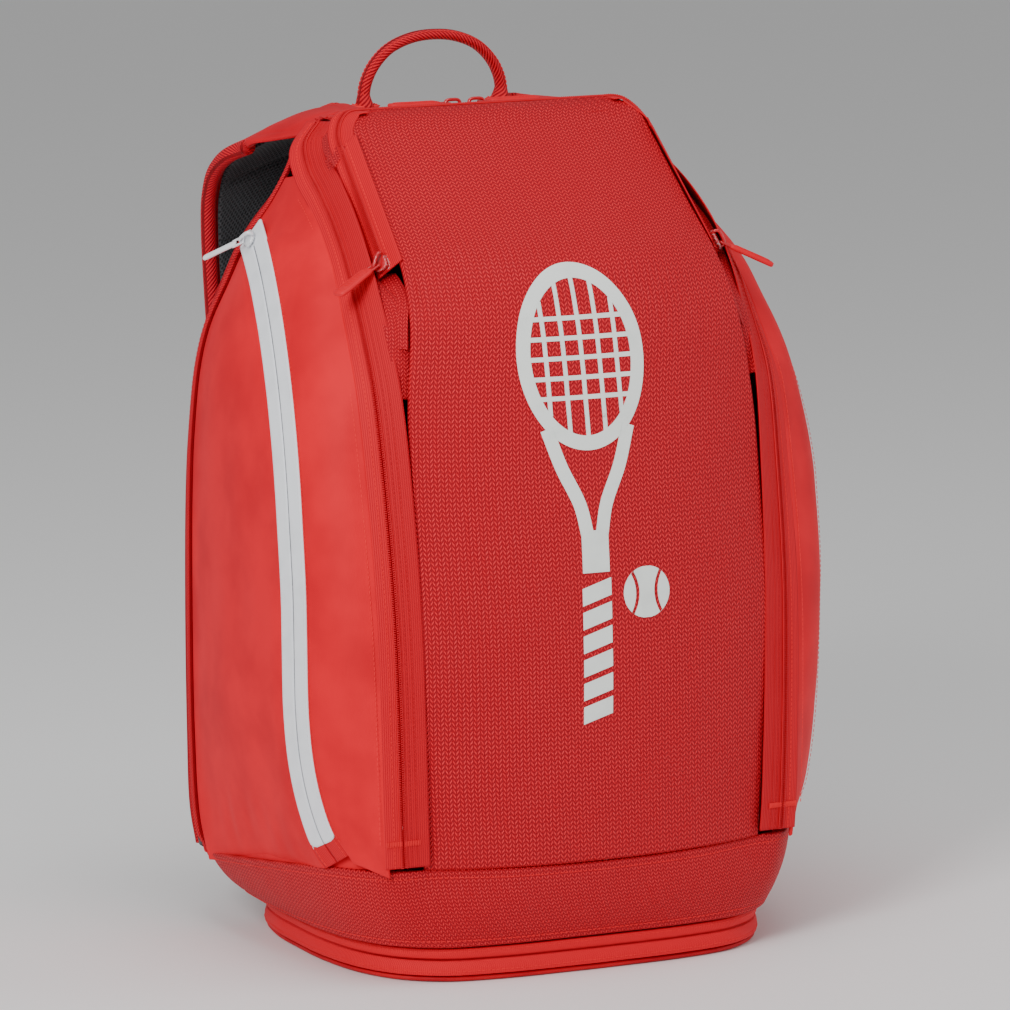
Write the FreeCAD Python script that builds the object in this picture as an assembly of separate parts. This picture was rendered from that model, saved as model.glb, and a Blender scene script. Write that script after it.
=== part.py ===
import FreeCAD, Part
import math, os

# Racket backpack. Row frame: +Z up, -Y is the front, X across; origin on the ground under the bag's middle.
# Every sewn panel is its own closed solid: outer and inner skins through the pattern lines, with ruled edges.

V = FreeCAD.Vector
os.makedirs("parts", exist_ok=True)

# ---------------------------------------------------------------- driving dimensions, mm
T_SIDE = 2.6          # side fabric with lining
T_FRONT = 5.0         # padded front panel
T_YOKE = 1.5          # plain fabric of the yoke between binding and back panel
T_BACK = 12.0         # back panel foam
T_TAPE = 0.9          # zip tape
W_TAPE = 11.5         # half width of a zip, coil line to tape edge
RAIL_W = 2.0          # half width of the closed coil pair
RAIL_H = 1.7          # coil height over the tape
GAP = 0.6             # seam gap between neighbouring pieces
Y_BACK0, Y_BACK1 = 118.0, 130.0   # back panel, front face and wearer's face
POD_AXIS = (-124.0, 70.0)         # y, z of the clamshell hinge line
FLAP_AXIS = (-77.0, 430.0)        # y, z of the front flap hinge line
LID_AXIS = (114.0, 1.5)           # y, z of the base lid hinge line
PKT_LO, PKT_HI = (171.0, 111.0, 60.0), (155.0, 108.0, 431.0)   # side pocket panel hinge line (right side)
W_GAP = 0.5           # half gap between the halves of a side zip
W_TILT = 32.0         # forward lean of the side zips' tape out of the plane of their arc, degrees
RING_Z = 14.0         # coil height of the base zip
BASE_TOP = 21.0       # top of the base zip tape
Z_SEAM = 70.0                     # body to base seam at the front
STRAP_T = (-92.0, 136.0, 492.0)  # strap swing axis, top anchor (left)
STRAP_A = (-138.0, 136.0, 74.0)   # and bottom anchor

# pattern lines of the left half, outboard distance given as +x: (x, y, z)
C_LINE = [(-118, 72), (-120, 120), (-120, 216), (-112, 296), (-103, 347), (-91, 395), (-76, 425), (-45, 447), (-7, 474), (19, 492), (44, 506)]
P_LINE = [(112.5, -97, 72), (115, -98, 120), (117, -98, 216), (117, -87, 296), (114.5, -80, 347), (108.5, -71, 395), (104.5, -50, 425),
          (102.4, -22, 448.5), (100.6, 10, 475), (99.4, 31, 492.3), (97, 44, 503)]
Z_LINE = [(125.5, -98, 74), (126.5, -98.5, 95), (129, -95, 216), (130, -83, 295), (130.4, -69, 352), (129, -53, 380), (127.4, -35, 406),
          (125, -15.5, 427), (122, 7, 444), (118.5, 34, 459), (114.5, 62, 472), (109, 79, 485), (98, 83.5, 497)]
Z_NORM = [(-.22, -1, 0), (-.22, -1, 0), (-.3, -1, 0), (-.42, -.9, .05), (-.55, -.8, .15), (-.68, -.65, .28), (-.78, -.5, .34),
          (-.85, -.36, .4), (-.87, -.28, .45), (-.85, -.2, .55), (-.78, -.12, .68), (-.62, -.06, .8), (-.3, 0, .95)]
W_LOW = [(174.5, -45, 262), (174.3, -48, 235), (174, -48.5, 207), (173, -48.5, 161), (170.5, -50, 131), (166, -53, 106), (160, -57, 86), (153, -62, 73)]
B_LINE = [(167.5, 104, 46), (171, 108, 70), (172.5, 111, 120), (173, 112, 200), (172, 113, 270), (170.5, 113, 305), (166, 112, 350), (160, 110, 375),
          (149.5, 106, 400), (143, 101, 418), (137, 97, 431), (126.5, 94.5, 446), (115.5, 94, 464), (109, 95, 477)]
A_LINE = [(162, 46), (166, 70), (167.5, 120), (168, 200), (167, 270), (165, 305), (159.5, 350), (152, 375), (141, 400), (132, 418), (123, 431),
          (110, 446), (94, 466), (80, 479), (60, 488.5), (30, 493.5), (0, 495)]
Y_TOP_ZIP, Z_TOP_ZIP = 84.0, 498.5     # coil line where the long zip crosses the top
X_TOP_RUN = 92.0                       # half length of its straight run


# ---------------------------------------------------------------- small geometry kit
def smooth(pts, n):
    """n points on a centripetal Catmull-Rom curve through pts (tuples of any length)."""
    k = len(pts[0])
    p = [tuple(2 * a - b for a, b in zip(pts[0], pts[1]))] + list(pts) + [tuple(2 * a - b for a, b in zip(pts[-1], pts[-2]))]
    seg = [max(1e-6, math.dist(p[i][:3] if k > 3 else p[i], p[i + 1][:3] if k > 3 else p[i + 1])) for i in range(len(p) - 1)]
    inner = seg[1:-1]
    total = sum(inner)
    out = []
    for i in range(n):
        s = total * i / (n - 1)
        j = 0
        while j < len(inner) - 1 and s > inner[j]:
            s -= inner[j]
            j += 1
        u = min(1.0, s / inner[j])
        t0, t1, t2, t3 = 0, seg[j] ** .5, seg[j] ** .5 + seg[j + 1] ** .5, seg[j] ** .5 + seg[j + 1] ** .5 + seg[j + 2] ** .5
        t = t1 + u * (t2 - t1)
        P0, P1, P2, P3 = p[j], p[j + 1], p[j + 2], p[j + 3]
        r = []
        for d in range(k):
            a1 = (t1 - t) / (t1 - t0) * P0[d] + (t - t0) / (t1 - t0) * P1[d]
            a2 = (t2 - t) / (t2 - t1) * P1[d] + (t - t1) / (t2 - t1) * P2[d]
            a3 = (t3 - t) / (t3 - t2) * P2[d] + (t - t2) / (t3 - t2) * P3[d]
            b1 = (t2 - t) / (t2 - t0) * a1 + (t - t0) / (t2 - t0) * a2
            b2 = (t3 - t) / (t3 - t1) * a2 + (t - t1) / (t3 - t1) * a3
            r.append((t2 - t) / (t2 - t1) * b1 + (t - t1) / (t2 - t1) * b2)
        out.append(tuple(r))
    return out


def at_z(pts, z, zi=2):
    """Point of a pattern line at height z (linear between its keys)."""
    for a, b in zip(pts, pts[1:]):
        lo, hi = sorted((a[zi], b[zi]))
        if lo <= z <= hi and hi > lo:
            u = (z - a[zi]) / (b[zi] - a[zi])
            return tuple(p + u * (q - p) for p, q in zip(a, b))
    return pts[0] if abs(z - pts[0][zi]) < abs(z - pts[-1][zi]) else pts[-1]


def unit(v):
    v = V(v)
    v.normalize()
    return v


def solid_of(faces):
    shell = Part.makeShell(faces)
    shell.sewShape()
    if shell.ShapeType != "Shell":
        shell = shell.Shells[0]
    s = Part.makeSolid(shell)
    if s.Volume < 0:
        s.reverse()
    if not s.isValid():
        s.fix(1e-4, 1e-4, 1e-3)
    return s


def patch(outer, inner):
    """Closed solid between two point grids of the same size."""
    so, si = Part.BSplineSurface(), Part.BSplineSurface()
    so.interpolate(outer)
    si.interpolate(inner)
    fo, fi = so.toShape(), si.toShape()
    u0, u1, v0, v1 = so.bounds()
    a0, a1, b0, b1 = si.bounds()
    eo = [so.uIso(u0), so.uIso(u1), so.vIso(v0), so.vIso(v1)]
    ei = [si.uIso(a0), si.uIso(a1), si.vIso(b0), si.vIso(b1)]
    sides = [Part.makeRuledSurface(p.toShape(), q.toShape()) for p, q in zip(eo, ei)]
    return solid_of([fo, fi] + sides)


def thick(outer, t, flip=False):
    """Patch of a grid offset by t along its inward normal."""
    m, n = len(outer), len(outer[0])
    inner = []
    for i in range(m):
        row = []
        for j in range(n):
            du = outer[min(i + 1, m - 1)][j] - outer[max(i - 1, 0)][j]
            dv = outer[i][min(j + 1, n - 1)] - outer[i][max(j - 1, 0)]
            nn = du.cross(dv)
            nn.normalize()
            row.append(outer[i][j] + nn * (t if flip else -t))
        inner.append(row)
    return patch(outer, inner)


def strip(cs, ns, a0, a1, h0, h1, cols=3):
    """Flat strip along centres cs with normals ns: from a0 to a1 sideways, h0 to h1 along the normal."""
    m = len(cs)
    top, bot = [], []
    for i in range(m):
        t = cs[min(i + 1, m - 1)] - cs[max(i - 1, 0)]
        t.normalize()
        lat = ns[i].cross(t)
        lat.normalize()
        nn = t.cross(lat)
        r1, r0 = [], []
        for j in range(cols):
            p = cs[i] + lat * (a0 + (a1 - a0) * j / (cols - 1))
            r1.append(p + nn * h1)
            r0.append(p + nn * h0)
        top.append(r1)
        bot.append(r0)
    return patch(top, bot)


def box_dir(o, ex, ey, ez, x0, x1, y0, y1, z0, z1):
    """Box in a local frame."""
    b = Part.makeBox(x1 - x0, y1 - y0, z1 - z0, V(x0, y0, z0))
    m = FreeCAD.Matrix(ex.x, ey.x, ez.x, o.x, ex.y, ey.y, ez.y, o.y, ex.z, ey.z, ez.z, o.z, 0, 0, 0, 1)
    return b.transformed(m)


def placed(shape, o, ex, ey, ez):
    m = FreeCAD.Matrix(ex.x, ey.x, ez.x, o.x, ex.y, ey.y, ez.y, o.y, ex.z, ey.z, ez.z, o.z, 0, 0, 0, 1)
    return shape.transformed(m)


def mx(s, pts):
    """Left-half tuples to vectors on side s (-1 left, +1 right)."""
    return [V(s * p[0], p[1], p[2]) for p in pts]


def mirror(shape):
    m = FreeCAD.Matrix()
    m.A11 = -1
    return shape.mirror(V(0, 0, 0), V(1, 0, 0))


made = {}


def save(name, *solids):
    flat = []
    for s in solids:
        flat += s.Solids
    for s in flat:
        if not s.isValid() or s.Volume <= 0:
            print("BAD", name, s.isValid(), s.Volume)
    shape = flat[0] if len(flat) == 1 else Part.makeCompound(flat)
    shape.exportStep("parts/" + name + ".step")
    made[name] = flat
    print(name, len(flat), round(sum(s.Volume for s in flat) / 1000, 2), "cm3")


for f in os.listdir("parts"):
    if f.endswith(".step"):
        os.remove("parts/" + f)

# ---------------------------------------------------------------- white zip arc (circle through three points), left half
WA, WM, WE = V(-143, 84, 431), V(-165, -2, 369), V(-174, -42, 281)


def circle3(a, b, c):
    ab, ac = b - a, c - a
    n = ab.cross(ac)
    n.normalize()
    u = unit(ab)
    w = n.cross(u)
    bx, cx, cy = ab.dot(u), ac.dot(u), ac.dot(w)
    k = ((cx - bx / 2) ** 2 + cy ** 2 - (bx / 2) ** 2) / (2 * cy)
    return a + u * (bx / 2) + w * k, n


W_CEN, W_N = circle3(WA, WM, WE)
if W_N.x > 0:
    W_N = W_N * -1
W_R = (WA - W_CEN).Length
W_U = unit(WA - W_CEN)
W_W = W_N.cross(W_U)
W_ANG = math.atan2((WE - W_CEN).dot(W_W), (WE - W_CEN).dot(W_U))
print("white zip arc: centre", W_CEN, "axis", W_N, "radius", W_R, "angle deg", math.degrees(W_ANG))


def w_arc(a, r=None):
    r = W_R if r is None else r
    return W_CEN + W_U * (r * math.cos(a)) + W_W * (r * math.sin(a))


w_end_t = unit(w_arc(W_ANG) - w_arc(W_ANG - 0.01 * (1 if W_ANG > 0 else -1)))
W_ALL = [(-w_arc(W_ANG * i / 12).x, w_arc(W_ANG * i / 12).y, w_arc(W_ANG * i / 12).z) for i in range(13)] + W_LOW
W_ASC = W_ALL[::-1]          # rising in z


# ---------------------------------------------------------------- pattern surfaces
def lerp(a, b, u):
    return a + (b - a) * u


def between(la, lb, n, cols, bulge, s, na=0.0, nb=0.0, va=0.0, vb=0.0):
    """Grid between two lists of points; columns inset by na, nb mm from each line, bulged outwards."""
    rows = []
    for i in range(n):
        a, b = la[i], lb[i]
        d = b - a
        L = d.length if hasattr(d, "length") else d.Length
        ua, ub = na / L, 1 - nb / L
        row = []
        for j in range(cols):
            u = ua + (ub - ua) * j / (cols - 1)
            row.append(a + d * u)
        rows.append(row)
    # bulge along the local normal
    out = []
    for i in range(n):
        r = []
        for j in range(cols):
            du = rows[min(i + 1, n - 1)][j] - rows[max(i - 1, 0)][j]
            dv = rows[i][min(j + 1, cols - 1)] - rows[i][max(j - 1, 0)]
            nn = du.cross(dv)
            nn.normalize()
            if nn.x * s < 0:
                nn = nn * -1
            v = i / (n - 1)
            k = bulge * math.sin(math.pi * j / (cols - 1)) * min(1.0, 4 * (v + va), 4 * (1 - v + vb))
            r.append(rows[i][j] + nn * max(0, k))
        out.append(r)
    return out


def front_pt(z, t):
    """Front panel skin: t from -1 (left edge) to 1 (right edge)."""
    yc = at_z(C_S, z, 1)[0]
    p = at_z(P_S, z)
    return V(t * p[0], yc + (p[1] - yc) * (abs(t) ** 2.3), z)


C_S = smooth(C_LINE, 81)
P_S = smooth(P_LINE, 81)
Z_FLAP = FLAP_AXIS[1]


def front_grid(z0, z1, nz, nt, off=0.0):
    g = []
    for i in range(nz):
        z = z0 + (z1 - z0) * i / (nz - 1)
        row = []
        for j in range(nt):
            t = -1 + 2 * j / (nt - 1)
            p = front_pt(z, t)
            if off:
                e = 1.0
                dz = front_pt(z + e, t) - front_pt(z - e, t)
                dt = front_pt(z, t + .01) - front_pt(z, t - .01)
                nn = dz.cross(dt)
                nn.normalize()
                if nn.y > 0:
                    nn = nn * -1
                p = p - nn * off
            row.append(p)
        g.append(row)
    return g


# ---------------------------------------------------------------- front pod
save("front_panel", patch(front_grid(Z_SEAM + 4, Z_FLAP - 1.2, 15, 11), front_grid(Z_SEAM + 4, Z_FLAP - 1.2, 15, 11, T_FRONT)))
save("front_flap_panel", patch(front_grid(Z_FLAP + 1.2, 504, 9, 11), front_grid(Z_FLAP + 1.2, 504, 9, 11, T_FRONT)))

# straight run of the flap zip, left: from just above the flap hinge up the slope
Q0, Q1 = V(-109.5, -40.0, 421.5), V(-104.5, 36.5, 487.0)
Q_T = unit(Q1 - Q0)
Q_N = unit(V(-.86, -.36, .36) - Q_T * V(-.86, -.36, .36).dot(Q_T))     # outward normal of the tape
Q_L = Q_N.cross(Q_T)                                                # sideways
print("flap zip run", (Q1 - Q0).Length, "dir", Q_T, "normal", Q_N, "lat", Q_L)


def arm(o, t, n, length, w0, w1, h0, h1):
    return box_dir(o, unit(n.cross(t)), t, n, w0, w1, 0, length, h0, h1)


def flap_zip(s):
    """Straight side run of the flap zip on side s: (gusset tape, flap tape)."""
    o, t, n = V(s * -Q0.x, Q0.y, Q0.z), V(s * -Q_T.x, Q_T.y, Q_T.z), V(s * -Q_N.x, Q_N.y, Q_N.z)
    L = (Q1 - Q0).Length
    lat = unit(n.cross(t))
    k = 1 if lat.y > 0 else -1                    # +k side is the gusset (rear) side
    def side(a, b, h0, h1):
        lo, hi = sorted((k * a, k * b))
        return box_dir(o, lat, t, n, lo, hi, 0, L, h0, h1)
    return side(0.15, 7.5, -T_TAPE, 0), side(-7.0, -0.15, -T_TAPE, 0)


fl = {s: flap_zip(s) for s in (-1, 1)}
# top run of the flap zip, across the bag
FT_Y, FT_Z = 55.5, 506.0
top_g = Part.makeBox(176, 7.0, T_TAPE, V(-88, FT_Y + .15, FT_Z - T_TAPE))
top_f = Part.makeBox(176, 7.0, T_TAPE, V(-88, FT_Y - 7.15, FT_Z - T_TAPE))
save("flap_zip_tape_gusset_side", fl[-1][0], fl[1][0], top_g)
save("flap_zip_tape_flap_side", fl[-1][1], fl[1][1], top_f)

# gussets: from the flap zip and the dart line back to the long zip
G_P = [(116.2, -79.0, 352), (113.9, -74.5, 375), (110.9, -68.0, 396), (110.3, -57.0, 408), (112.0, -45.5, 412.0), (113.9, -34.8, 416.8), (112.6, -15.1, 433.6), (111.3, 4.6, 450.5), (110.0, 24.4, 467.4), (108.9, 40.8, 481.5)]
G_Z = [(118.2, -77.5, 352), (118.9, -63.0, 383), (118.8, -48.0, 402), (118.3, -34.5, 417), (117.0, -17.5, 434), (115.2, -2.0, 444.4), (113.6, 8.0, 450.8), (111.4, 25.0, 461.3), (109.8, 40.0, 471.0), (108.2, 50.5, 478.0)]


def gusset(s):
    a, b = mx(s, smooth(G_P, 13)), mx(s, smooth(G_Z, 13))
    g = between(a, b, 13, 4, 1.0, s, 0.0, 0.0)
    inner = [[p - V(s * 1.6, -.6, .5) for p in r] for r in g]
    return patch(g, inner)


save("front_gusset_left", gusset(-1))
save("front_gusset_right", gusset(1))
save("front_gusset_top", Part.makeBox(172, 8.2, 2.0, V(-86, 63.3, 500.2)))

# long zip: both tapes, left arm + top run + right arm
ZN = [z + n for z, n in zip(Z_LINE, Z_NORM)]
ZS = smooth(ZN, 41)


def zip_arm(s, a0, a1, h0, h1):
    cs = [V(s * p[0], p[1], p[2]) for p in ZS]
    ns = [unit(V(-s * p[3], p[4], p[5])) for p in ZS]
    # sideways vector n x t: on the right (+1) it points the other way round
    return strip(cs, ns, a0, a1, h0, h1)


def side_sign(s):
    t = V(s * (ZS[21][0] - ZS[20][0]), ZS[21][1] - ZS[20][1], ZS[21][2] - ZS[20][2])
    n = V(-s * ZS[20][3], ZS[20][4], ZS[20][5])
    return 1 if n.cross(t).x * s > 0 else -1     # +1 where +lateral is outboard (rear tape)


def top_zip(y0, y1, z0, z1):
    return Part.makeBox(2 * X_TOP_RUN, y1 - y0, z1 - z0, V(-X_TOP_RUN, y0, z0))


front_t, rear_t = [], []
for s in (-1, 1):
    k = side_sign(s)
    front_t += [zip_arm(s, *sorted((-k * .6, -k * W_TAPE)), -T_TAPE, 0)]
    rear_t += [zip_arm(s, *sorted((k * .6, k * W_TAPE)), -T_TAPE, 0)]
front_t += [top_zip(Y_TOP_ZIP - W_TAPE, Y_TOP_ZIP - .15, Z_TOP_ZIP - T_TAPE, Z_TOP_ZIP)]
rear_t += [top_zip(Y_TOP_ZIP + .15, Y_TOP_ZIP + W_TAPE, Z_TOP_ZIP - T_TAPE, Z_TOP_ZIP)]
save("main_zip_tape_front", *front_t)
save("main_zip_tape_rear", *rear_t)

# organiser wall inside the front pod
DW = [(-88, 78), (-88, 200), (-78, 300), (-66, 360), (-40, 400), (-12, 424), (30, 455), (58, 478)]
ds = smooth([(0, a, b) for a, b in DW], 15)


def wall_half(z):
    return at_z(P_S, z)[0] - 9.0


dg = [[V(wall_half(p[2]) * (-1 + 2 * j / 6), p[1], p[2]) for j in range(7)] for p in ds]
save("organiser_wall", patch(dg, [[q + V(0, 1.2, -.8) for q in r] for r in dg]))

# ---------------------------------------------------------------- sides (fixed part), between long zip and white zip
N = 25
z_lo, z_hi = 76.0, 470.0
zs_line = smooth([(z[0] + 0, z[1], z[2]) for z in Z_LINE[:11]], 81)


def white_normal(p):
    """Outward normal of the left white zip's tape at a point of its line; the tape leans forward by W_TILT."""
    r = p - W_CEN
    r = unit(r - W_N * r.dot(W_N)) if p.z > w_arc(W_ANG).z else unit(w_arc(W_ANG) - W_CEN)
    return unit(W_N * math.cos(math.radians(W_TILT)) + r * math.sin(math.radians(W_TILT)))


def rear_edge_of_zip(s):
    """Outboard edge of the long zip's rear tape, as points."""
    out = []
    k = side_sign(s)
    cs = [V(s * p[0], p[1], p[2]) for p in ZS]
    for i in range(len(ZS)):
        t = cs[min(i + 1, len(ZS) - 1)] - cs[max(i - 1, 0)]
        t.normalize()
        n = unit(V(-s * ZS[i][3], ZS[i][4], ZS[i][5]))
        lat = n.cross(t)
        lat.normalize()
        out.append(cs[i] + lat * (k * (W_TAPE + 1.0)))
    return out


def front_edge_of_white(s):
    out = []
    w = smooth(W_ASC, 41)
    for i, p in enumerate(w):
        q0, q1 = w[max(i - 1, 0)], w[min(i + 1, 40)]
        t = unit(V(s * (q1[0] - q0[0]), q1[1] - q0[1], q1[2] - q0[2]))
        n = white_normal(V(-p[0], p[1], p[2]))
        n = V(s * -n.x, n.y, n.z)
        lat = n.cross(t)
        lat.normalize()
        if lat.y > 0:
            lat = lat * -1
        out.append(V(s * p[0], p[1], p[2]) + lat * (W_TAPE + 2.2))
    return out


def rear_edge_of_white(s):
    f = front_edge_of_white(s)
    w = smooth(W_ASC, 41)
    return [V(s * p[0], p[1], p[2]) * 2 - q for p, q in zip(w, f)]


def resample(pts, n):
    return [V(*q) for q in smooth([(p.x, p.y, p.z) for p in pts], n)]


def clip_z(pts, z0, z1):
    out = [p for p in pts if z0 < p.z < z1]
    def cut(z):
        for a, b in zip(pts, pts[1:]):
            if (a.z - z) * (b.z - z) <= 0 and a.z != b.z:
                return a + (b - a) * ((z - a.z) / (b.z - a.z))
    lo, hi = cut(z0), cut(z1)
    return ([lo] if lo is not None else []) + out + ([hi] if hi is not None else [])


def side_front(s):
    a = resample(clip_z(rear_edge_of_zip(s), 76, 466), N)
    # outboard boundary: along the white zip, then along the binding to the top
    w = clip_z(front_edge_of_white(s), 77, 432)
    top = [V(s * 134.6, 89.0, 434), V(s * 124.0, 88.0, 448), V(s * 116.8, 85.5, 461.5)]
    b = resample(w + top, N)
    g = between(a, b, N, 6, 5.0, s, 0, 0)
    return thick_in(g, T_SIDE, s)


def thick_in(g, t, s):
    m, n = len(g), len(g[0])
    inner = []
    for i in range(m):
        row = []
        for j in range(n):
            du = g[min(i + 1, m - 1)][j] - g[max(i - 1, 0)][j]
            dv = g[i][min(j + 1, n - 1)] - g[i][max(j - 1, 0)]
            nn = du.cross(dv)
            nn.normalize()
            if nn.x * s < 0:
                nn = nn * -1
            row.append(g[i][j] - nn * t)
        inner.append(row)
    return patch(g, inner)


save("side_panel_left", side_front(-1))
save("side_panel_right", side_front(1))

# pocket panels behind the white zip, to the binding
B_S = smooth(B_LINE, 61)


def pocket_panel(s):
    a = resample(clip_z(rear_edge_of_white(s), 73, 411), N)
    bb = [V(s * p[0], p[1] - 8.0, p[2]) for p in B_S]
    b = resample(clip_z(bb, 50, 417), N)
    g = between(a, b, N, 6, 5.0, s)
    return thick_in(g, T_SIDE, s)


save("pocket_panel_left", pocket_panel(-1))
save("pocket_panel_right", pocket_panel(1))

# white zip tapes: exact ring sectors over the arc, then a strip down to the base seam


def ring(s, r0, r1, h0, h1):
    """Sector of the cone-shaped tape about the arc axis; r0, r1 are widths from the zip's line, h0, h1 heights off the tape."""
    a = math.radians(W_TILT)
    er, en = W_U * math.cos(a) - W_N * math.sin(a), W_N * math.cos(a) + W_U * math.sin(a)
    c = W_CEN + W_U * W_R
    pts = [c + er * r + en * h for r, h in ((r0, h0), (r1, h0), (r1, h1), (r0, h1))]
    f = Part.Face(Part.makePolygon(pts + [pts[0]]))
    sol = f.revolve(W_CEN, W_N, math.degrees(W_ANG))
    if sol.ShapeType != "Solid":
        sol = sol.Solids[0]
    if sol.Volume < 0:
        sol.reverse()
    return sol if s < 0 else mirror(sol)


def white_low(s, a0, a1, h0, h1):
    first = w_arc(W_ANG * 1.004)
    w = smooth([(-first.x, first.y, first.z)] + W_LOW[1:], 19)
    cs = [V(s * p[0], p[1], p[2]) for p in w]
    nl = white_normal(w_arc(W_ANG))
    ns = []
    for i in range(len(cs)):
        t = unit(cs[min(i + 1, len(cs) - 1)] - cs[max(i - 1, 0)])
        n = V(s * -nl.x, nl.y, nl.z)
        ns.append(unit(n - t * n.dot(t)))
    return strip(cs, ns, a0, a1, h0, h1)


def white_sign(s):
    n, t = V(s * -W_N.x, W_N.y, W_N.z), V(0, 0, -1)
    return 1 if n.cross(t).y < 0 else -1        # +1 where +lateral is forward


# radius side: is the front outside or inside the ring?
front_out = (W_U.y * 0 + (w_arc(W_ANG / 2) - W_CEN).y) < 0
wt = {}
for s in (-1, 1):
    k = white_sign(s)
    outer, inner = (W_GAP, W_TAPE), (-W_TAPE, -W_GAP)
    fr, rr = (outer, inner) if front_out else (inner, outer)
    f = [ring(s, *fr, -T_TAPE, 0), white_low(s, *sorted((k * W_GAP, k * W_TAPE)), -T_TAPE, 0)]
    r = [ring(s, *rr, -T_TAPE, 0), white_low(s, *sorted((-k * W_GAP, -k * W_TAPE)), -T_TAPE, 0)]
    name = "left" if s < 0 else "right"
    save("side_zip_tape_front_" + name, *f)
    save("side_zip_tape_rear_" + name, *r)


# ---------------------------------------------------------------- rear: binding, yoke band, back panel
def oriented(g, ref):
    """Unit normals of a grid, each pointing away from the point ref(p)."""
    m, n = len(g), len(g[0])
    out = []
    for i in range(m):
        row = []
        for j in range(n):
            du = g[min(i + 1, m - 1)][j] - g[max(i - 1, 0)][j]
            dv = g[i][min(j + 1, n - 1)] - g[i][max(j - 1, 0)]
            nn = du.cross(dv)
            nn.normalize()
            if nn.dot(g[i][j] - ref(g[i][j])) < 0:
                nn = nn * -1
            row.append(nn)
        out.append(row)
    return out


def layer(g, ns, h0, h1):
    """Solid between offsets h0 (outer) and h1 (inner) of a grid."""
    return patch([[p + n * h0 for p, n in zip(r, q)] for r, q in zip(g, ns)], [[p + n * h1 for p, n in zip(r, q)] for r, q in zip(g, ns)])


B_UP = smooth([(p[0], p[1], p[2]) for p in B_LINE], 41)
for s, name in ((-1, "left"), (1, "right")):
    cs = [V(s * p[0], p[1], p[2]) for p in B_UP]
    ns = []
    for i, c in enumerate(cs):
        up = max(0.0, (c.z - 360) / 120)
        ns.append(unit(V(s * (.85 - .35 * up), .45, .9 * up)))
    save("side_binding_" + name, strip(cs, ns, -3.0, 3.0, -2.6, .6))

NY = 41
B_EDGE = []                       # rear edge of the binding, left side, from the bottom up
for i in range(0, 41, 2):
    c, lo, hi = V(*B_UP[i]), V(*B_UP[max(i - 1, 0)]), V(*B_UP[min(i + 1, 40)])
    up = max(0.0, (c.z - 360) / 120)
    lat = unit(V(.85 - .35 * up, .45, .9 * up).cross(hi - lo))
    if lat.y < 0:
        lat = lat * -1
    e = c + lat * (4.7 + GAP)
    if e.z > 335:                 # lower down the binding itself closes the seam to the back panel
        B_EDGE.append((-e.x, e.y, e.z))
B_ARCH = B_EDGE + [(-99, 99.8, 487.5), (-86, 100.2, 494), (-60, 100.6, 497), (0, 100.8, 498)]
B_ARCH = B_ARCH + [(-x, y, z) for x, y, z in B_ARCH[-2::-1]]
A_ARCH = [(-x - 1.2, Y_BACK0 - GAP, z) for x, z in A_LINE[5:-1]] + [(0, Y_BACK0 - GAP, 495)]
A_ARCH = A_ARCH + [(-x, y, z) for x, y, z in A_ARCH[-2::-1]]
ya = [V(*p) for p in smooth(B_ARCH, NY)]
ya_dense = [V(*p) for p in smooth(A_ARCH, 900)]
yb = []                            # nearest point of the back panel's edge, always moving on along it
last = 0
for i, p in enumerate(ya):
    want = min(range(last, 900), key=lambda k: (ya_dense[k] - p).Length)
    last = min(899, max(want, last + 2 if i else 0))
    yb.append(ya_dense[last])
yb[-1] = ya_dense[-1]
yn = []                            # one outward direction per row, square to the run and to the width
for i in range(NY):
    run = ya[min(i + 1, NY - 1)] - ya[max(i - 1, 0)]
    nn = unit(run.cross(yb[i] - ya[i]))
    yn.append(nn if nn.dot(ya[i] - V(0, 60, 250)) > 0 else nn * -1)


def tri(*p):
    return Part.Face(Part.makePolygon(list(p) + [p[0]]))


def facet_band(a, b, n, t):
    """Band between two edge lines, of thickness t under its outward direction n, in flat facets."""
    rows = [(p, q, q - m * t, p - m * t) for p, q, m in zip(a, b, n)]
    fs = []
    for r, s_ in zip(rows, rows[1:]):
        for k in range(4):
            m = (k + 1) % 4
            fs += [tri(r[k], r[m], s_[m]), tri(r[k], s_[m], s_[k])]
    for r in (rows[0], rows[-1]):
        fs += [tri(r[0], r[1], r[2]), tri(r[0], r[2], r[3])]
    sol = Part.Solid(Part.makeShell(fs))
    if sol.Volume < 0:
        sol.reverse()
    return sol


save("top_yoke", facet_band(ya, yb, yn, T_YOKE))
rear_top = Part.makeBox(2 * X_TOP_RUN, 3.6, 1.6, V(-X_TOP_RUN, Y_TOP_ZIP + W_TAPE + .5, 496.6))
save("top_binding", rear_top)

outline = [V(-x, Y_BACK0, z) for x, z in A_LINE] + [V(x, Y_BACK0, z) for x, z in A_LINE[-2::-1]]
spl = Part.BSplineCurve()
spl.interpolate([V(*p) for p in smooth([(p.x, p.y, p.z) for p in outline], 45)])
edge = spl.toShape()
base_edge = Part.makeLine(edge.Vertexes[-1].Point, edge.Vertexes[0].Point)
back = Part.Face(Part.Wire([edge, base_edge])).extrude(V(0, Y_BACK1 - Y_BACK0, 0))
try:
    rounded = back.makeFillet(3.5, [e for e in back.Edges if e.CenterOfMass.y > Y_BACK1 - .5])
    back = rounded if rounded.isValid() and rounded.Volume > 0 else back
except Exception:
    pass
save("back_panel", back)

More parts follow.
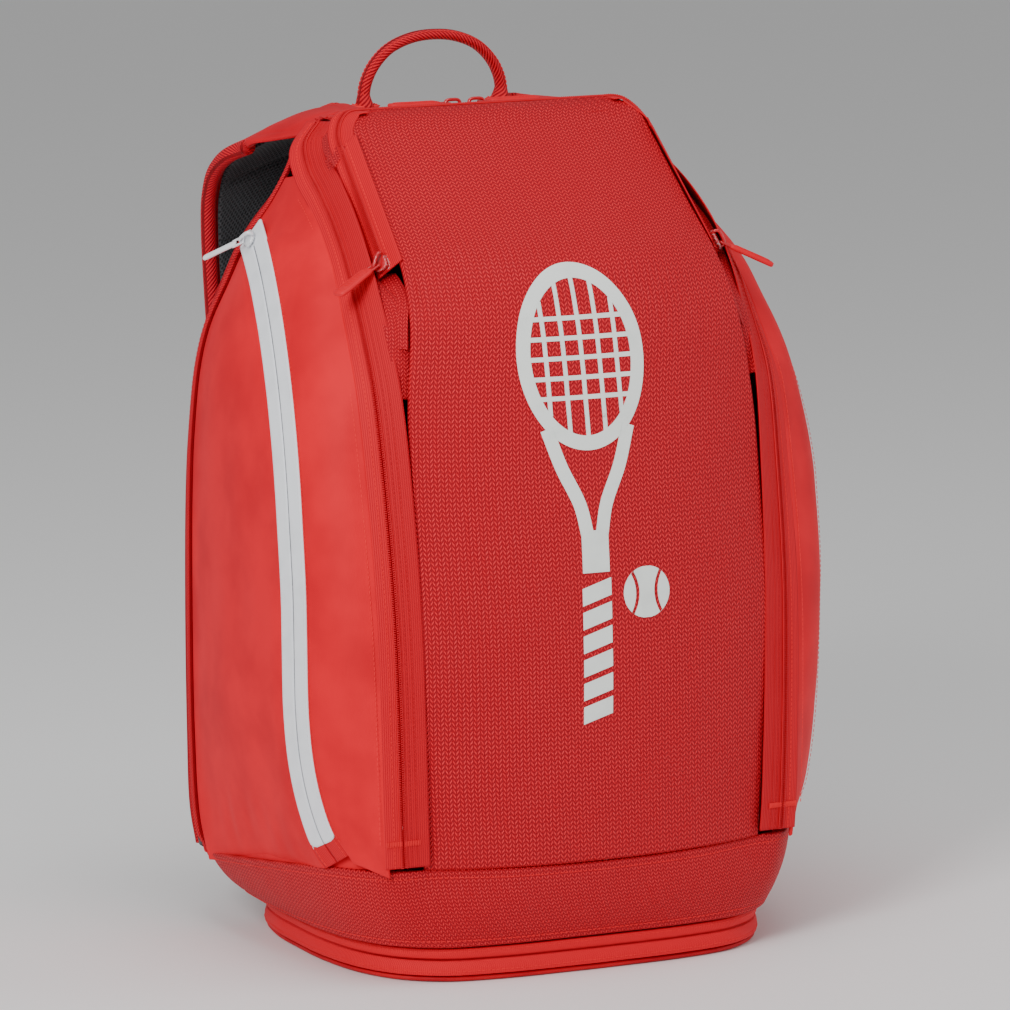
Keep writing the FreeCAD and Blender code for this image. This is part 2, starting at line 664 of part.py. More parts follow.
# ---------------------------------------------------------------- base
D_RING = [(0, -100), (60, -98), (95, -91), (118, -74), (132, -48), (139, -12), (140, 25), (138.5, 60), (131, 90), (117, 108)]
D_BAND = [(0, -103), (62, -101.5), (100, -94.5), (124, -77), (138.5, -50), (145.5, -10), (147, 25), (146.5, 60), (143, 92), (131, 113)]
U_BAND = [(0, -114.5, 69), (60, -110.5, 69.5), (108, -97.5, 70.5), (128, -94, 70.5), (143, -76, 69), (153, -58, 68), (162, -25, 64), (167, 15, 58.5), (168.5, 60, 52), (167, 96, 47), (160, 112, 45)]


def loop_full(half):
    """Left rear corner round the front to the right rear corner."""
    k = len(half[0])
    left = [(-p[0],) + tuple(p[1:]) for p in half[::-1]]
    return left + list(half[1:])


ring = [V(p[0], p[1], 0) for p in smooth(loop_full(D_RING), 61)]


def outward(pts, i):
    t = pts[min(i + 1, len(pts) - 1)] - pts[max(i - 1, 0)]
    n = V(t.y, -t.x, 0)
    n.normalize()
    if n.dot(pts[i] - V(0, 20, 0)) < 0:
        n = n * -1
    return n


def wall(pts, z0, z1, off0, off1):
    o = [[p + outward(pts, i) * off0 + V(0, 0, z) for z in (z0, (z0 + z1) / 2, z1)] for i, p in enumerate(pts)]
    q = [[p + outward(pts, i) * off1 + V(0, 0, z) for z in (z0, (z0 + z1) / 2, z1)] for i, p in enumerate(pts)]
    return patch(o, q)


save("base_zip_tape_lower", wall(ring, 4.3, RING_Z - .3, 0, -1.5))
save("base_zip_tape_upper", wall(ring, RING_Z + .3, BASE_TOP, 0, -1.5))
pl = Part.BSplineCurve()
plate_pts = [p + outward(ring, i) * .4 for i, p in enumerate(ring)]
pl.interpolate(plate_pts)
pe = pl.toShape()
rear_pts = [plate_pts[-1], V(105, 110.5, 0), V(-105, 110.5, 0), plate_pts[0]]
plate = Part.Face(Part.Wire([pe] + [Part.makeLine(a, b) for a, b in zip(rear_pts, rear_pts[1:])])).extrude(V(0, 0, 4.0))
save("base_panel", plate)

low = [V(p[0], p[1], BASE_TOP + .8) for p in smooth(loop_full(D_BAND), 61)]
upp = [V(*p) for p in smooth(loop_full(U_BAND), 61)]
bg = []
for a, b in zip(low, upp):
    r = []
    for j in range(5):
        u = j / 4
        p = a + (b - a) * u
        out = V(p.x, p.y - 20, 0)
        out.normalize()
        r.append(p + out * (3.0 * math.sin(math.pi * u)))
    bg.append(r)
save("base_band", layer(bg, oriented(bg, lambda p: V(0, 20, p.z)), 0, -3.0))
save("base_rear_panel", Part.makeBox(212, 3.0, BASE_TOP + .9, V(-106, 115.2, 0)).fuse(Part.makeBox(250, 3.0, 21.0, V(-125, 115.2, BASE_TOP + .8))).removeSplitter())

# ---------------------------------------------------------------- inner walls
dv = [(-118, -84), (118, -84), (134, -60), (137, -20), (137, 60), (135, 112), (-135, 112), (-137, 60), (-137, -20), (-134, -60)]
save("shoe_divider", Part.Face(Part.makePolygon([V(x, y, 110) for x, y in dv + dv[:1]])).extrude(V(0, 0, 1.6)))
LF = [(144, -36, 74), (147, -36, 207), (145, -30, 281), (138, -4, 350), (130, 22, 388), (125, 40, 402)]
LR = [(146, 107, 60), (149, 108, 200), (148, 108, 270), (141, 106, 340), (131, 103, 388), (125, 102, 404)]
for s, name in ((-1, "left"), (1, "right")):
    g = between(mx(s, smooth(LF, 15)), mx(s, smooth(LR, 15)), 15, 4, 0.0, s)
    save("pocket_liner_" + name, layer(g, oriented(g, lambda p: V(0, p.y, p.z)), 0, -1.2))

# ---------------------------------------------------------------- grab handle
H_Y, H_Z = 130.0, 498.0
hp = [(-46, 498.6), (-46.5, 505), (-44.8, 513.5), (-39.5, 523.5), (-29.5, 533.0), (-15, 538.9), (0, 540.5)]
hp = hp + [(-x, z) for x, z in hp[-2::-1]]
hc = smooth(hp, 41)
top_g, bot_g = [], []
for i, (x, z) in enumerate(hc):
    a, b = hc[max(i - 1, 0)], hc[min(i + 1, 40)]
    t = unit(V(b[0] - a[0], 0, b[1] - a[1]))
    n = V(-t.z, 0, t.x)
    flare = max(0.0, 1 - (z - 498.6) / 14.0)
    h = 3.3 + 3.0 * flare * flare
    w = 5.5 - 2.5 * flare
    c = V(x, H_Y, z)
    top_g.append([c + n * h * e + V(0, w * f, 0) for f, e in ((-1, .25), (-.6, .85), (0, 1), (.6, .85), (1, .25))])
    bot_g.append([c - n * h * e + V(0, w * f, 0) for f, e in ((-1, .25), (-.6, .85), (0, 1), (.6, .85), (1, .25))])
save("grab_handle", patch(top_g, bot_g))

# ---------------------------------------------------------------- shoulder straps
WING = [((-60, 100.4, 500.8), (-104, 100.2, 487)), ((-59, 115, 501), (-118, 113, 484)), ((-58, 130.5, 501), (-126, 130.5, 481))]
ROWS = [((-62, 143, 499.5), (-122, 143, 479.5)), ((-57, 158, 497), (-127, 157, 474)), ((-56, 180, 484), (-128, 177, 462)), ((-56, 195, 458), (-127, 190, 444)),
        ((-57, 200, 425), (-126, 194, 420)), ((-59, 196, 385), (-126, 190, 382)), ((-65, 184, 330), (-127, 179, 328)), ((-77, 170, 270), (-129, 166, 269)), ((-92, 161, 222), (-132, 159, 222))]


def strap_grid(rows, n, cols, s, crown):
    fl_ = smooth([tuple(a) + tuple(b) for a, b in rows], n)
    g = []
    for r in fl_:
        a, b = V(s * -r[0], r[1], r[2]), V(s * -r[3], r[4], r[5])
        row = []
        for j in range(cols):
            u = j / (cols - 1)
            row.append(a + (b - a) * u)
        g.append(row)
    ns = oriented(g, lambda p: V(p.x, 130, 380))
    return [[p + q * (crown * math.sin(math.pi * j / (cols - 1))) for j, (p, q) in enumerate(zip(r, nr))] for r, nr in zip(g, ns)], ns


for s, name in ((-1, "left"), (1, "right")):
    g, ns = strap_grid(WING, 7, 7, s, 4.6)
    save("strap_wing_" + name, layer(g, ns, 0, -2.0))
    g, ns = strap_grid(ROWS, 31, 5, s, 2.0)
    save("strap_pad_" + name, layer(g, ns, 0, -7.0))
    save("strap_lining_" + name, layer(g, ns, -7.4, -9.4))
    # webbing from the pad end to the ladder lock, the lock, and webbing down to the anchor
    P0, P1, P2 = V(s * 112.5, 151.0, 236), V(s * 117, 150.6, 212), V(s * 138, 137.6, 80)
    d1 = unit(P1 - P0)
    nn = unit(V(0, 1, 0) - d1 * d1.y)
    lat = unit(nn.cross(d1))
    U0 = V(s * 112.3, 147.6, 240)
    d1 = unit(P1 + V(0, -1.5, 0) - U0)
    nn = unit(V(0, 1, 0) - d1 * d1.y)
    lat = unit(nn.cross(d1))
    L1 = (P1 - U0).Length
    sewn = box_dir(U0, lat, d1, nn, -12.5, 12.5, 0, L1 - 3.0, -.8, .8)
    d2 = unit(P2 - P1)
    n2 = unit(V(0, 1, 0) - d2 * d2.y)
    l2 = unit(n2.cross(d2))
    frame = box_dir(P1, l2, d2, n2, -16.5, 16.5, -2, 24, -2.2, 2.2)
    for a, b in ((1.2, 6.2), (9.4, 13.2), (16.2, 20.8)):
        frame = frame.cut(box_dir(P1, l2, d2, n2, -13.4, 13.4, a, b, -4, 4))
    save("ladder_lock_" + name, frame)
    L2 = (P2 - P1).Length
    save("strap_webbing_" + name, sewn, box_dir(P1 + n2 * 3.6, l2, d2, n2, -12.5, 12.5, 4, 44, -.8, .8), box_dir(P1 - n2 * 3.6, l2, d2, n2, -12.5, 12.5, 4, L2 - 2, -.8, .8))
    tab = Part.Face(Part.makePolygon([V(s * 118, 130.6, 52), V(s * 158, 130.6, 60), V(s * 157, 130.6, 76), V(s * 124, 130.6, 84), V(s * 118, 130.6, 52)])).extrude(V(0, 1.8, 0))
    save("strap_tab_" + name, tab)


# ---------------------------------------------------------------- zip sliders and pulls
def slider(name, o, t, n, p, length, wa, wb, kind="tab", sgn=1):
    """Slider at o on the tape plane (normal n), travelling along t, pull pointing along p in that plane."""
    t, n = unit(t), unit(n)
    lat = unit(t.cross(n))
    base = box_dir(o, lat, t, n, -4.2, 4.2, -6, 6, RAIL_H + .4, RAIL_H + 2.1)
    p = unit(p - n * p.dot(n))
    q = unit(p.cross(n))
    z0 = RAIL_H + 2.1
    bail = [box_dir(o, q, p, n, -1.1, 1.1, -5, -3.7, z0 - .1, z0 + 2.5), box_dir(o, q, p, n, -1.1, 1.1, 3.7, 5, z0 - .1, z0 + 2.5), box_dir(o, q, p, n, -1.1, 1.1, -5, 5, z0 + 2.2, z0 + 3.3)]
    body = base
    for b in bail:
        body = body.fuse(b)
    save(name + "_slider", body.removeSplitter())
    lift = math.radians(LIFT.get(name, 0.0))
    hinge = o + p * 2.6 + n * (z0 + 1.1)
    p2 = unit(p * math.cos(lift) + n * math.sin(lift))
    n2 = unit(n * math.cos(lift) - p * math.sin(lift))
    bar = Part.makeCylinder(.6, 6.0, hinge - q * 3.0, q)
    arms = [box_dir(hinge, q, p2, n2, 1.6, 3.0, -.6, 8, -.6, .6), box_dir(hinge, q, p2, n2, -3.0, -1.6, -.6, 8, -.6, .6)]
    pts = [(-wa / 2, 6.4), (wa / 2, 6.4), (wb / 2, length - 3), (wb / 2 - 1.5, length), (-wb / 2 + 1.5, length), (-wb / 2, length - 3)]
    th = 1.1 if kind == "tab" else .9
    poly = [hinge + q * a + p2 * b - n2 * th for a, b in pts]
    plate = Part.Face(Part.makePolygon(poly + poly[:1])).extrude(n2 * (2 * th))
    pull = bar.fuse(arms[0]).fuse(arms[1]).fuse(plate)
    save(name + "_pull", pull.removeSplitter())
    print("   hinge", name, [round(c, 2) for c in hinge], "axis", [round(c, 4) for c in q], "pull", [round(c, 3) for c in p2], "travel", [round(c, 4) for c in t])


LIFT = {"flap_zip_left": 41, "flap_zip_right": 41, "side_zip_left": 15, "side_zip_right": 15, "main_zip_left": 0, "main_zip_right": 0, "base_zip": 0}
for s, name in ((-1, "left"), (1, "right")):
    qt, qn = V(s * -Q_T.x, Q_T.y, Q_T.z), V(s * -Q_N.x, Q_N.y, Q_N.z)
    o = V(s * -Q0.x, Q0.y, Q0.z) + qt * 7.0
    slider("flap_zip_" + name, o, qt, qn, V(0, 0, -1) - qn * V(0, 0, -1).dot(qn), 35, 7.5, 10)
    slider("main_zip_" + name, V(s * 8.0, Y_TOP_ZIP, Z_TOP_ZIP), V(s, 0, 0), V(0, 0, 1), V(s, 0, 0), 40, 7, 9)
    a0 = 0.045 * (1 if W_ANG > 0 else -1)
    wo, wt = w_arc(a0), unit(w_arc(a0 * 1.01) - w_arc(a0 * .99))
    wl = white_normal(wo)
    wo, wt, wn = V(s * -wo.x, wo.y, wo.z), V(s * -wt.x, wt.y, wt.z), V(s * -wl.x, wl.y, wl.z)
    slider("side_zip_" + name, wo, wt, wn, V(0, .72, -.69), 32, 4.0, 4.0, "cord")
slider("base_zip", V(140.2, 25, RING_Z), V(0, 1, 0), V(1, 0, 0), V(0, 1, 0), 34, 7, 9)
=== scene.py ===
import bpy, math
import numpy as np
from mathutils import Vector, Matrix


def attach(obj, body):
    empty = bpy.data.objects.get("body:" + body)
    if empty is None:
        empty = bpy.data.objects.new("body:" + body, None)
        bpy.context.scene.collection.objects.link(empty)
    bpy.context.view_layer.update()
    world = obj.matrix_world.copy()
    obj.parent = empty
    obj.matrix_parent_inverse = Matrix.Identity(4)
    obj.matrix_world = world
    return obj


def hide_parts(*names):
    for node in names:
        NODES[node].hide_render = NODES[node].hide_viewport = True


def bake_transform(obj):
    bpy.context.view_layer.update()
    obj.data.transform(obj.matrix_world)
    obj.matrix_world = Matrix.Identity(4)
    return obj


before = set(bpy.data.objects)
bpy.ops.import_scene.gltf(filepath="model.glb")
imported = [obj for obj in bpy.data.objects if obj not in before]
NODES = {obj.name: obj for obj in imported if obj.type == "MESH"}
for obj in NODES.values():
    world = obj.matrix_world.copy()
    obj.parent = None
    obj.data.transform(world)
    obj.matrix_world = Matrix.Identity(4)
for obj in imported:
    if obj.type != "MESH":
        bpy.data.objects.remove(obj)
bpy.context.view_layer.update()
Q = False
rng = np.random.default_rng(7)
COL = bpy.context.scene.collection

# ------------------------------------------------------------------ pattern lines, mm (left half as +x)
T_SIDE, T_BACK, W_TAPE, RAIL_H = 2.6, 12.0, 11.5, 1.7
C_LINE = [(-116.5, 70), (-120, 120), (-120, 216), (-112, 296), (-103, 347), (-91, 395), (-76, 425), (-45, 447), (-7, 474), (19, 492), (36, 502.5), (44, 506), (50, 507.5)]
P_LINE = [(112.5, -97, 70), (115, -98, 120), (117, -98, 216), (117, -87, 296), (114.5, -80, 347), (108.5, -71, 395), (104.5, -50, 425),
          (102.4, -22, 448.5), (100.6, 10, 475), (99.6, 28, 490), (98.6, 37, 497.5), (96, 43, 501.5), (90, 47.5, 504.8), (80, 50, 507.0), (74, 50.5, 507.6)]
Z_LINE = [(125.5, -98, 74), (126.5, -98.5, 95), (129, -95, 216), (130, -83, 295), (130.4, -69, 352), (129, -53, 380), (127.4, -35, 406),
          (125, -15.5, 427), (122, 7, 444), (118.5, 34, 459), (114.5, 62, 472), (109, 79, 485), (98, 83.5, 497)]
Z_NORM = [(-.22, -1, 0), (-.22, -1, 0), (-.3, -1, 0), (-.42, -.9, .05), (-.55, -.8, .15), (-.68, -.65, .28), (-.78, -.5, .34),
          (-.85, -.36, .4), (-.87, -.28, .45), (-.85, -.2, .55), (-.78, -.12, .68), (-.62, -.06, .8), (-.3, 0, .95)]
W_LOW = [(174.5, -45, 262), (174.3, -48, 235), (174, -48.5, 207), (173, -48.5, 161), (170.5, -50, 131), (166, -53, 106), (160, -57, 86), (153, -62, 73)]
B_LINE = [(167.5, 104, 46), (171, 108, 70), (172.5, 111, 120), (173, 112, 200), (172, 113, 270), (170.5, 113, 305), (166, 112, 350), (160, 110, 375),
          (149.5, 106, 400), (143, 101, 418), (137, 97, 431), (126.5, 94.5, 446), (115.5, 94, 464), (109, 95, 477)]
A_LINE = [(162, 46), (166, 70), (167.5, 120), (168, 200), (167, 270), (165, 305), (159.5, 350), (152, 375), (141, 400), (132, 418), (123, 431),
          (110, 446), (94, 466), (80, 479), (60, 488.5), (30, 493.5), (0, 495)]
G_P = [(116.2, -79.0, 352), (113.9, -74.5, 375), (110.9, -68.0, 396), (110.3, -57.0, 408), (112.0, -45.5, 412.0), (113.9, -34.8, 416.8), (112.6, -15.1, 433.6), (111.3, 4.6, 450.5), (110.0, 24.4, 467.4), (108.9, 40.8, 481.5)]
G_Z = [(118.2, -77.5, 352), (118.9, -63.0, 383), (118.8, -48.0, 402), (118.3, -34.5, 417), (117.0, -17.5, 434), (115.2, -2.0, 444.4), (113.6, 8.0, 450.8), (111.4, 25.0, 461.3), (109.8, 40.0, 471.0), (108.2, 50.5, 478.0)]
D_RING = [(0, -100), (60, -98), (95, -91), (118, -74), (132, -48), (139, -12), (140, 25), (138.5, 60), (131, 90), (117, 108)]
D_BAND = [(0, -103), (62, -101.5), (100, -94.5), (124, -77), (138.5, -50), (145.5, -10), (147, 25), (146.5, 60), (143, 92), (131, 113)]
U_BAND = [(0, -114.5, 69), (60, -110.5, 69.5), (108, -97.5, 70.5), (128, -94, 70.5), (143, -76, 69), (153, -58, 68), (162, -25, 64), (167, 15, 58.5), (168.5, 60, 52), (167, 96, 47), (160, 112, 45)]
WING = [((-60, 100.4, 500.8), (-104, 100.2, 487)), ((-59, 115, 501), (-118, 113, 484)), ((-58, 130.5, 501), (-126, 130.5, 481))]
ROWS = [((-62, 143, 499.5), (-122, 143, 479.5)), ((-57, 158, 497), (-127, 157, 474)), ((-56, 180, 484), (-128, 177, 462)), ((-56, 195, 458), (-127, 190, 444)),
        ((-57, 200, 425), (-126, 194, 420)), ((-59, 196, 385), (-126, 190, 382)), ((-65, 184, 330), (-127, 179, 328)), ((-77, 170, 270), (-129, 166, 269)), ((-92, 161, 222), (-132, 159, 222))]
Q0, Q1 = np.array((-109.5, -40.0, 421.5)), np.array((-104.5, 36.5, 487.0))
Y_TOP, Z_TOP, X_TOP = 84.0, 498.5, 92.0
A3 = lambda *v: np.array(v, float)


# ------------------------------------------------------------------ maths
def unit(v):
    v = np.asarray(v, float)
    return v / np.maximum(1e-9, np.linalg.norm(v, axis=-1, keepdims=True))


def smooth(pts, n):
    p = np.array(pts, float)
    k = min(3, p.shape[1])
    p = np.vstack([2 * p[0] - p[1], p, 2 * p[-1] - p[-2]])
    seg = np.maximum(1e-6, np.linalg.norm(np.diff(p[:, :k], axis=0), axis=1))
    inner = seg[1:-1]
    cum = np.concatenate([[0], np.cumsum(inner)])
    s = np.linspace(0, cum[-1], n)
    j = np.clip(np.searchsorted(cum, s, side="right") - 1, 0, len(inner) - 1)
    u = np.clip((s - cum[j]) / inner[j], 0, 1)
    a, b, c = seg[j] ** .5, seg[j + 1] ** .5, seg[j + 2] ** .5
    t0, t1, t2, t3 = np.zeros(n), a, a + b, a + b + c
    t = t1 + u * (t2 - t1)
    f = lambda x: x[:, None]
    P0, P1, P2, P3 = p[j], p[j + 1], p[j + 2], p[j + 3]
    a1 = f((t1 - t) / (t1 - t0)) * P0 + f((t - t0) / (t1 - t0)) * P1
    a2 = f((t2 - t) / (t2 - t1)) * P1 + f((t - t1) / (t2 - t1)) * P2
    a3 = f((t3 - t) / (t3 - t2)) * P2 + f((t - t2) / (t3 - t2)) * P3
    b1 = f((t2 - t) / (t2 - t0)) * a1 + f((t - t0) / (t2 - t0)) * a2
    b2 = f((t3 - t) / (t3 - t1)) * a2 + f((t - t1) / (t3 - t1)) * a3
    return f((t2 - t) / (t2 - t1)) * b1 + f((t - t1) / (t2 - t1)) * b2


def resample(p, n, curve=True):
    """n points at even steps along a dense polyline."""
    p = np.asarray(p, float)
    s = np.concatenate([[0], np.cumsum(np.linalg.norm(np.diff(p[:, :3], axis=0), axis=1))])
    t = np.linspace(0, s[-1], n)
    return np.stack([np.interp(t, s, p[:, i]) for i in range(p.shape[1])], 1)


def lattice(seed):
    return np.random.default_rng(seed).random((32, 32, 32))


LAT = [lattice(i) for i in range(6)]


def noise(P, scale, k=0):
    """Smooth value noise, about -1..1, feature size scale mm."""
    q = np.asarray(P, float) / scale + 100.37
    i = np.floor(q).astype(int)
    f = q - i
    f = f * f * (3 - 2 * f)
    L = LAT[k]
    out = 0
    for dx in (0, 1):
        for dy in (0, 1):
            for dz in (0, 1):
                w = (f[..., 0] if dx else 1 - f[..., 0]) * (f[..., 1] if dy else 1 - f[..., 1]) * (f[..., 2] if dz else 1 - f[..., 2])
                out = out + w * L[(i[..., 0] + dx) % 32, (i[..., 1] + dy) % 32, (i[..., 2] + dz) % 32]
    return out * 2 - 1


def normals(G, ref=None):
    du = np.gradient(G, axis=0)
    dv = np.gradient(G, axis=1)
    n = unit(np.cross(du, dv))
    if ref is not None:
        if np.sum(np.einsum("ijk,ijk->ij", n, G - np.asarray(ref, float))) < 0:
            n = -n
    return n


def arc(G, axis):
    d = np.linalg.norm(np.diff(G, axis=axis), axis=2)
    z = np.zeros_like(np.take(d, [0], axis=axis))
    return np.concatenate([z, np.cumsum(d, axis=axis)], axis=axis)


def smin(a, lo, hi):
    x = np.clip((a - lo) / (hi - lo), 0, 1)
    return x * x * (3 - 2 * x)


# ------------------------------------------------------------------ mesh building
def mesh_obj(name, V, F, mat, uv=None, smooth_on=True):
    me = bpy.data.meshes.new(name)
    me.from_pydata((np.asarray(V, float) * .001).tolist(), [], F)
    me.update()
    if uv is not None:
        lay = me.uv_layers.new(name="UVMap")
        idx = np.zeros(len(me.loops), int)
        me.loops.foreach_get("vertex_index", idx)
        lay.data.foreach_set("uv", np.asarray(uv, float)[idx].ravel())
    if smooth_on:
        me.polygons.foreach_set("use_smooth", [True] * len(me.polygons))
    ob = bpy.data.objects.new(name, me)
    COL.objects.link(ob)
    me.materials.append(mat)
    return ob


def grid_faces(m, n, off=0, flip=False):
    i, j = np.meshgrid(np.arange(m - 1), np.arange(n - 1), indexing="ij")
    a = (i * n + j).ravel() + off
    q = np.stack([a, a + 1, a + n + 1, a + n], 1)
    if flip:
        q = q[:, ::-1]
    return q.tolist()


def spaced(n, L, r):
    """Parameters 0..1 with extra rows close to both ends."""
    e = np.array([0, .06, .2, .42, .7, 1.0]) * r / max(L, 1e-6)
    if e[-1] > .3:
        return np.linspace(0, 1, n)
    mid = np.linspace(e[-1], 1 - e[-1], n)
    return np.concatenate([e[:-1], mid, (1 - e[:-1])[::-1]])


def regrid(G, us, vs):
    m, n = G.shape[:2]
    x = us * (m - 1)
    i = np.clip(np.floor(x).astype(int), 0, m - 2)
    f = (x - i)[:, None, None]
    H = G[i] * (1 - f) + G[i + 1] * f
    y = vs * (n - 1)
    j = np.clip(np.floor(y).astype(int), 0, n - 2)
    g = (y - j)[None, :, None]
    return H[:, j] * (1 - g) + H[:, j + 1] * g


def cushion(name, G, t, r, mat, ref, rows=None, cols=None, wrinkle=None, sides=(1, 1, 1, 1), lift=0.0, tfun=None, uvo=(0, 0)):
    """Closed soft panel: G is a dense grid of its outer skin, t its thickness, r the roundness of its edges."""
    Lu, Lv = arc(G, 0)[-1].mean(), arc(G, 1)[:, -1].mean()
    us = spaced(rows or int(Lu / 3) + 4, Lu, r)
    vs = spaced(cols or int(Lv / 3) + 4, Lv, r)
    G = regrid(G, us, vs)
    N = normals(G, ref)
    au, av = arc(G, 0), arc(G, 1)
    d = np.full(au.shape, 1e9)
    if sides[0]: d = np.minimum(d, au)
    if sides[1]: d = np.minimum(d, au[-1:] - au)
    if sides[2]: d = np.minimum(d, av)
    if sides[3]: d = np.minimum(d, av[:, -1:] - av)
    dd = np.clip(d, 0, r)
    h = -(r - np.sqrt(np.maximum(0, r * r - (r - dd) ** 2))) + lift
    if wrinkle is not None:
        h = h + wrinkle(G, au, av, d) * smin(d, 0, 12)
    tt = t if tfun is None else tfun(G, au, av)
    O = G + N * h[..., None]
    I = G - N * (np.ones_like(h) * tt)[..., None]
    m, n = G.shape[:2]
    V = np.concatenate([O.reshape(-1, 3), I.reshape(-1, 3)])
    k = m * n
    flip = np.einsum("k,k->", np.cross(G[1, 0] - G[0, 0], G[0, 1] - G[0, 0]), N[0, 0]) > 0
    F = grid_faces(m, n, 0, flip) + grid_faces(m, n, k, not flip)
    ring = [(0, j) for j in range(n)] + [(i, n - 1) for i in range(1, m)] + [(m - 1, j) for j in range(n - 2, -1, -1)] + [(i, 0) for i in range(m - 2, 0, -1)]
    ids = [a * n + b for a, b in ring]
    for a, b in zip(ids, ids[1:] + ids[:1]):
        F.append([a, b, b + k, a + k] if flip else [b, a, a + k, b + k])
    uv = np.stack([av.ravel() + uvo[0], au.ravel() + uvo[1]], 1)
    ob = mesh_obj(name, V, F, mat, np.concatenate([uv, uv]))
    return ob, O, N, au, av


def tube(name, path, rad, mat, nrm=None, ratio=1.0, seg=10, caps=True):
    """Tube along path; rad may vary; ratio squashes it along nrm."""
    P = np.asarray(path, float)
    T = unit(np.gradient(P, axis=0))
    if nrm is None:
        up = A3(0, 0, 1) if abs(T[0][2]) < .9 else A3(1, 0, 0)
        n0 = unit(np.cross(T[0], up))
        Ns = [n0]
        for i in range(1, len(P)):
            v = Ns[-1] - T[i] * np.dot(Ns[-1], T[i])
            Ns.append(unit(v))
        Nn = np.array(Ns)
    else:
        Nn = np.asarray(nrm, float)
        Nn = unit(Nn - T * np.einsum("ij,ij->i", Nn, T)[:, None])
    B = np.cross(T, Nn)
    rad = np.broadcast_to(np.asarray(rad, float), (len(P),))
    a = np.arange(seg) * 2 * np.pi / seg
    V = P[:, None] + (Nn[:, None] * (np.sin(a) * ratio)[None, :, None] + B[:, None] * np.cos(a)[None, :, None]) * rad[:, None, None]
    m = len(P)
    F = []
    for i in range(m - 1):
        for j in range(seg):
            k = (j + 1) % seg
            F.append([i * seg + j, i * seg + k, (i + 1) * seg + k, (i + 1) * seg + j])
    if caps:
        F.append(list(range(seg))[::-1])
        F.append([(m - 1) * seg + j for j in range(seg)])
    s = np.concatenate([[0], np.cumsum(np.linalg.norm(np.diff(P, axis=0), axis=1))])
    uv = np.stack([np.broadcast_to((a * rad.mean())[None, :], (m, seg)), np.broadcast_to(s[:, None], (m, seg))], 2).reshape(-1, 2)
    return mesh_obj(name, V.reshape(-1, 3), F, mat, uv)


def join(name, obs):
    obs = [o for o in obs if o is not None]
    base = obs[0]
    mats = []
    V, F, U, M = [], [], [], []
    off = 0
    for o in obs:
        me = o.data
        co = np.zeros(len(me.vertices) * 3)
        me.vertices.foreach_get("co", co)
        V.append(co.reshape(-1, 3))
        mat = me.materials[0]
        if mat not in mats:
            mats.append(mat)
        uvl = me.uv_layers[0].data if me.uv_layers else None
        uv = np.zeros(len(me.loops) * 2)
        if uvl is not None:
            uvl.foreach_get("uv", uv)
        U.append(uv)
        for p in me.polygons:
            F.append([v + off for v in p.vertices])
            M.append(mats.index(mat))
        off += len(me.vertices)
    me = bpy.data.meshes.new(name)
    me.from_pydata(np.concatenate(V).tolist(), [], F)
    lay = me.uv_layers.new(name="UVMap")
    lay.data.foreach_set("uv", np.concatenate(U))
    for m in mats:
        me.materials.append(m)
    me.polygons.foreach_set("material_index", M)
    me.polygons.foreach_set("use_smooth", [True] * len(F))
    me.update()
    ob = bpy.data.objects.new(name, me)
    COL.objects.link(ob)
    for o in obs:
        bpy.data.objects.remove(o)
    return ob


BOXV = np.array([(x, y, z) for x in (-1, 1) for y in (-1, 1) for z in (-1, 1)], float)
BOXF = [[0, 1, 3, 2], [4, 6, 7, 5], [0, 4, 5, 1], [2, 3, 7, 6], [0, 2, 6, 4], [1, 5, 7, 3]]


def capsules(name, C, T, N, length, width, height, mat, round_=.55):
    """Many small rounded bars: centres C, along T, up N."""
    C, T, N = np.asarray(C), unit(T), unit(N)
    B = unit(np.cross(T, N))
    N = np.cross(B, T)
    sec = [(-1, 0), (-.7, .75), (0, 1), (.7, .75), (1, 0), (.7, -.75), (0, -1), (-.7, -.75)]
    ring = []
    for s_, k in ((-1, .35), (-.72, .85), (0, 1), (.72, .85), (1, .35)):
        for x, y in sec:
            ring.append((s_ * length / 2, x * width / 2 * k, y * height / 2 * k))
    R = np.array(ring)
    V = C[:, None] + T[:, None] * R[None, :, :1] + B[:, None] * R[None, :, 1:2] + N[:, None] * R[None, :, 2:3]
    F = []
    base = []
    for i in range(4):
        for j in range(8):
            k = (j + 1) % 8
            base.append([i * 8 + j, (i + 1) * 8 + j, (i + 1) * 8 + k, i * 8 + k])
    base.append(list(range(8)))
    base.append([32 + j for j in range(7, -1, -1)])
    for i in range(len(C)):
        o = i * 40
        F += [[v + o for v in f] for f in base]
    return mesh_obj(name, V.reshape(-1, 3), F, mat, np.tile([[0, 0]], (len(C) * 40, 1)))


def along(P, N, pitch, start=0.0, end=0.0):
    """Centres, directions and normals every pitch mm along a polyline."""
    P, N = np.asarray(P, float), np.asarray(N, float)
    s = np.concatenate([[0], np.cumsum(np.linalg.norm(np.diff(P, axis=0), axis=1))])
    t = np.arange(start, s[-1] - end, pitch)
    C = np.stack([np.interp(t, s, P[:, i]) for i in range(3)], 1)
    T = unit(np.stack([np.interp(t + .5, s, P[:, i]) for i in range(3)], 1) - np.stack([np.interp(t - .5, s, P[:, i]) for i in range(3)], 1) + 1e-9)
    M = unit(np.stack([np.interp(t, s, N[:, i]) for i in range(3)], 1))
    return C, T, M


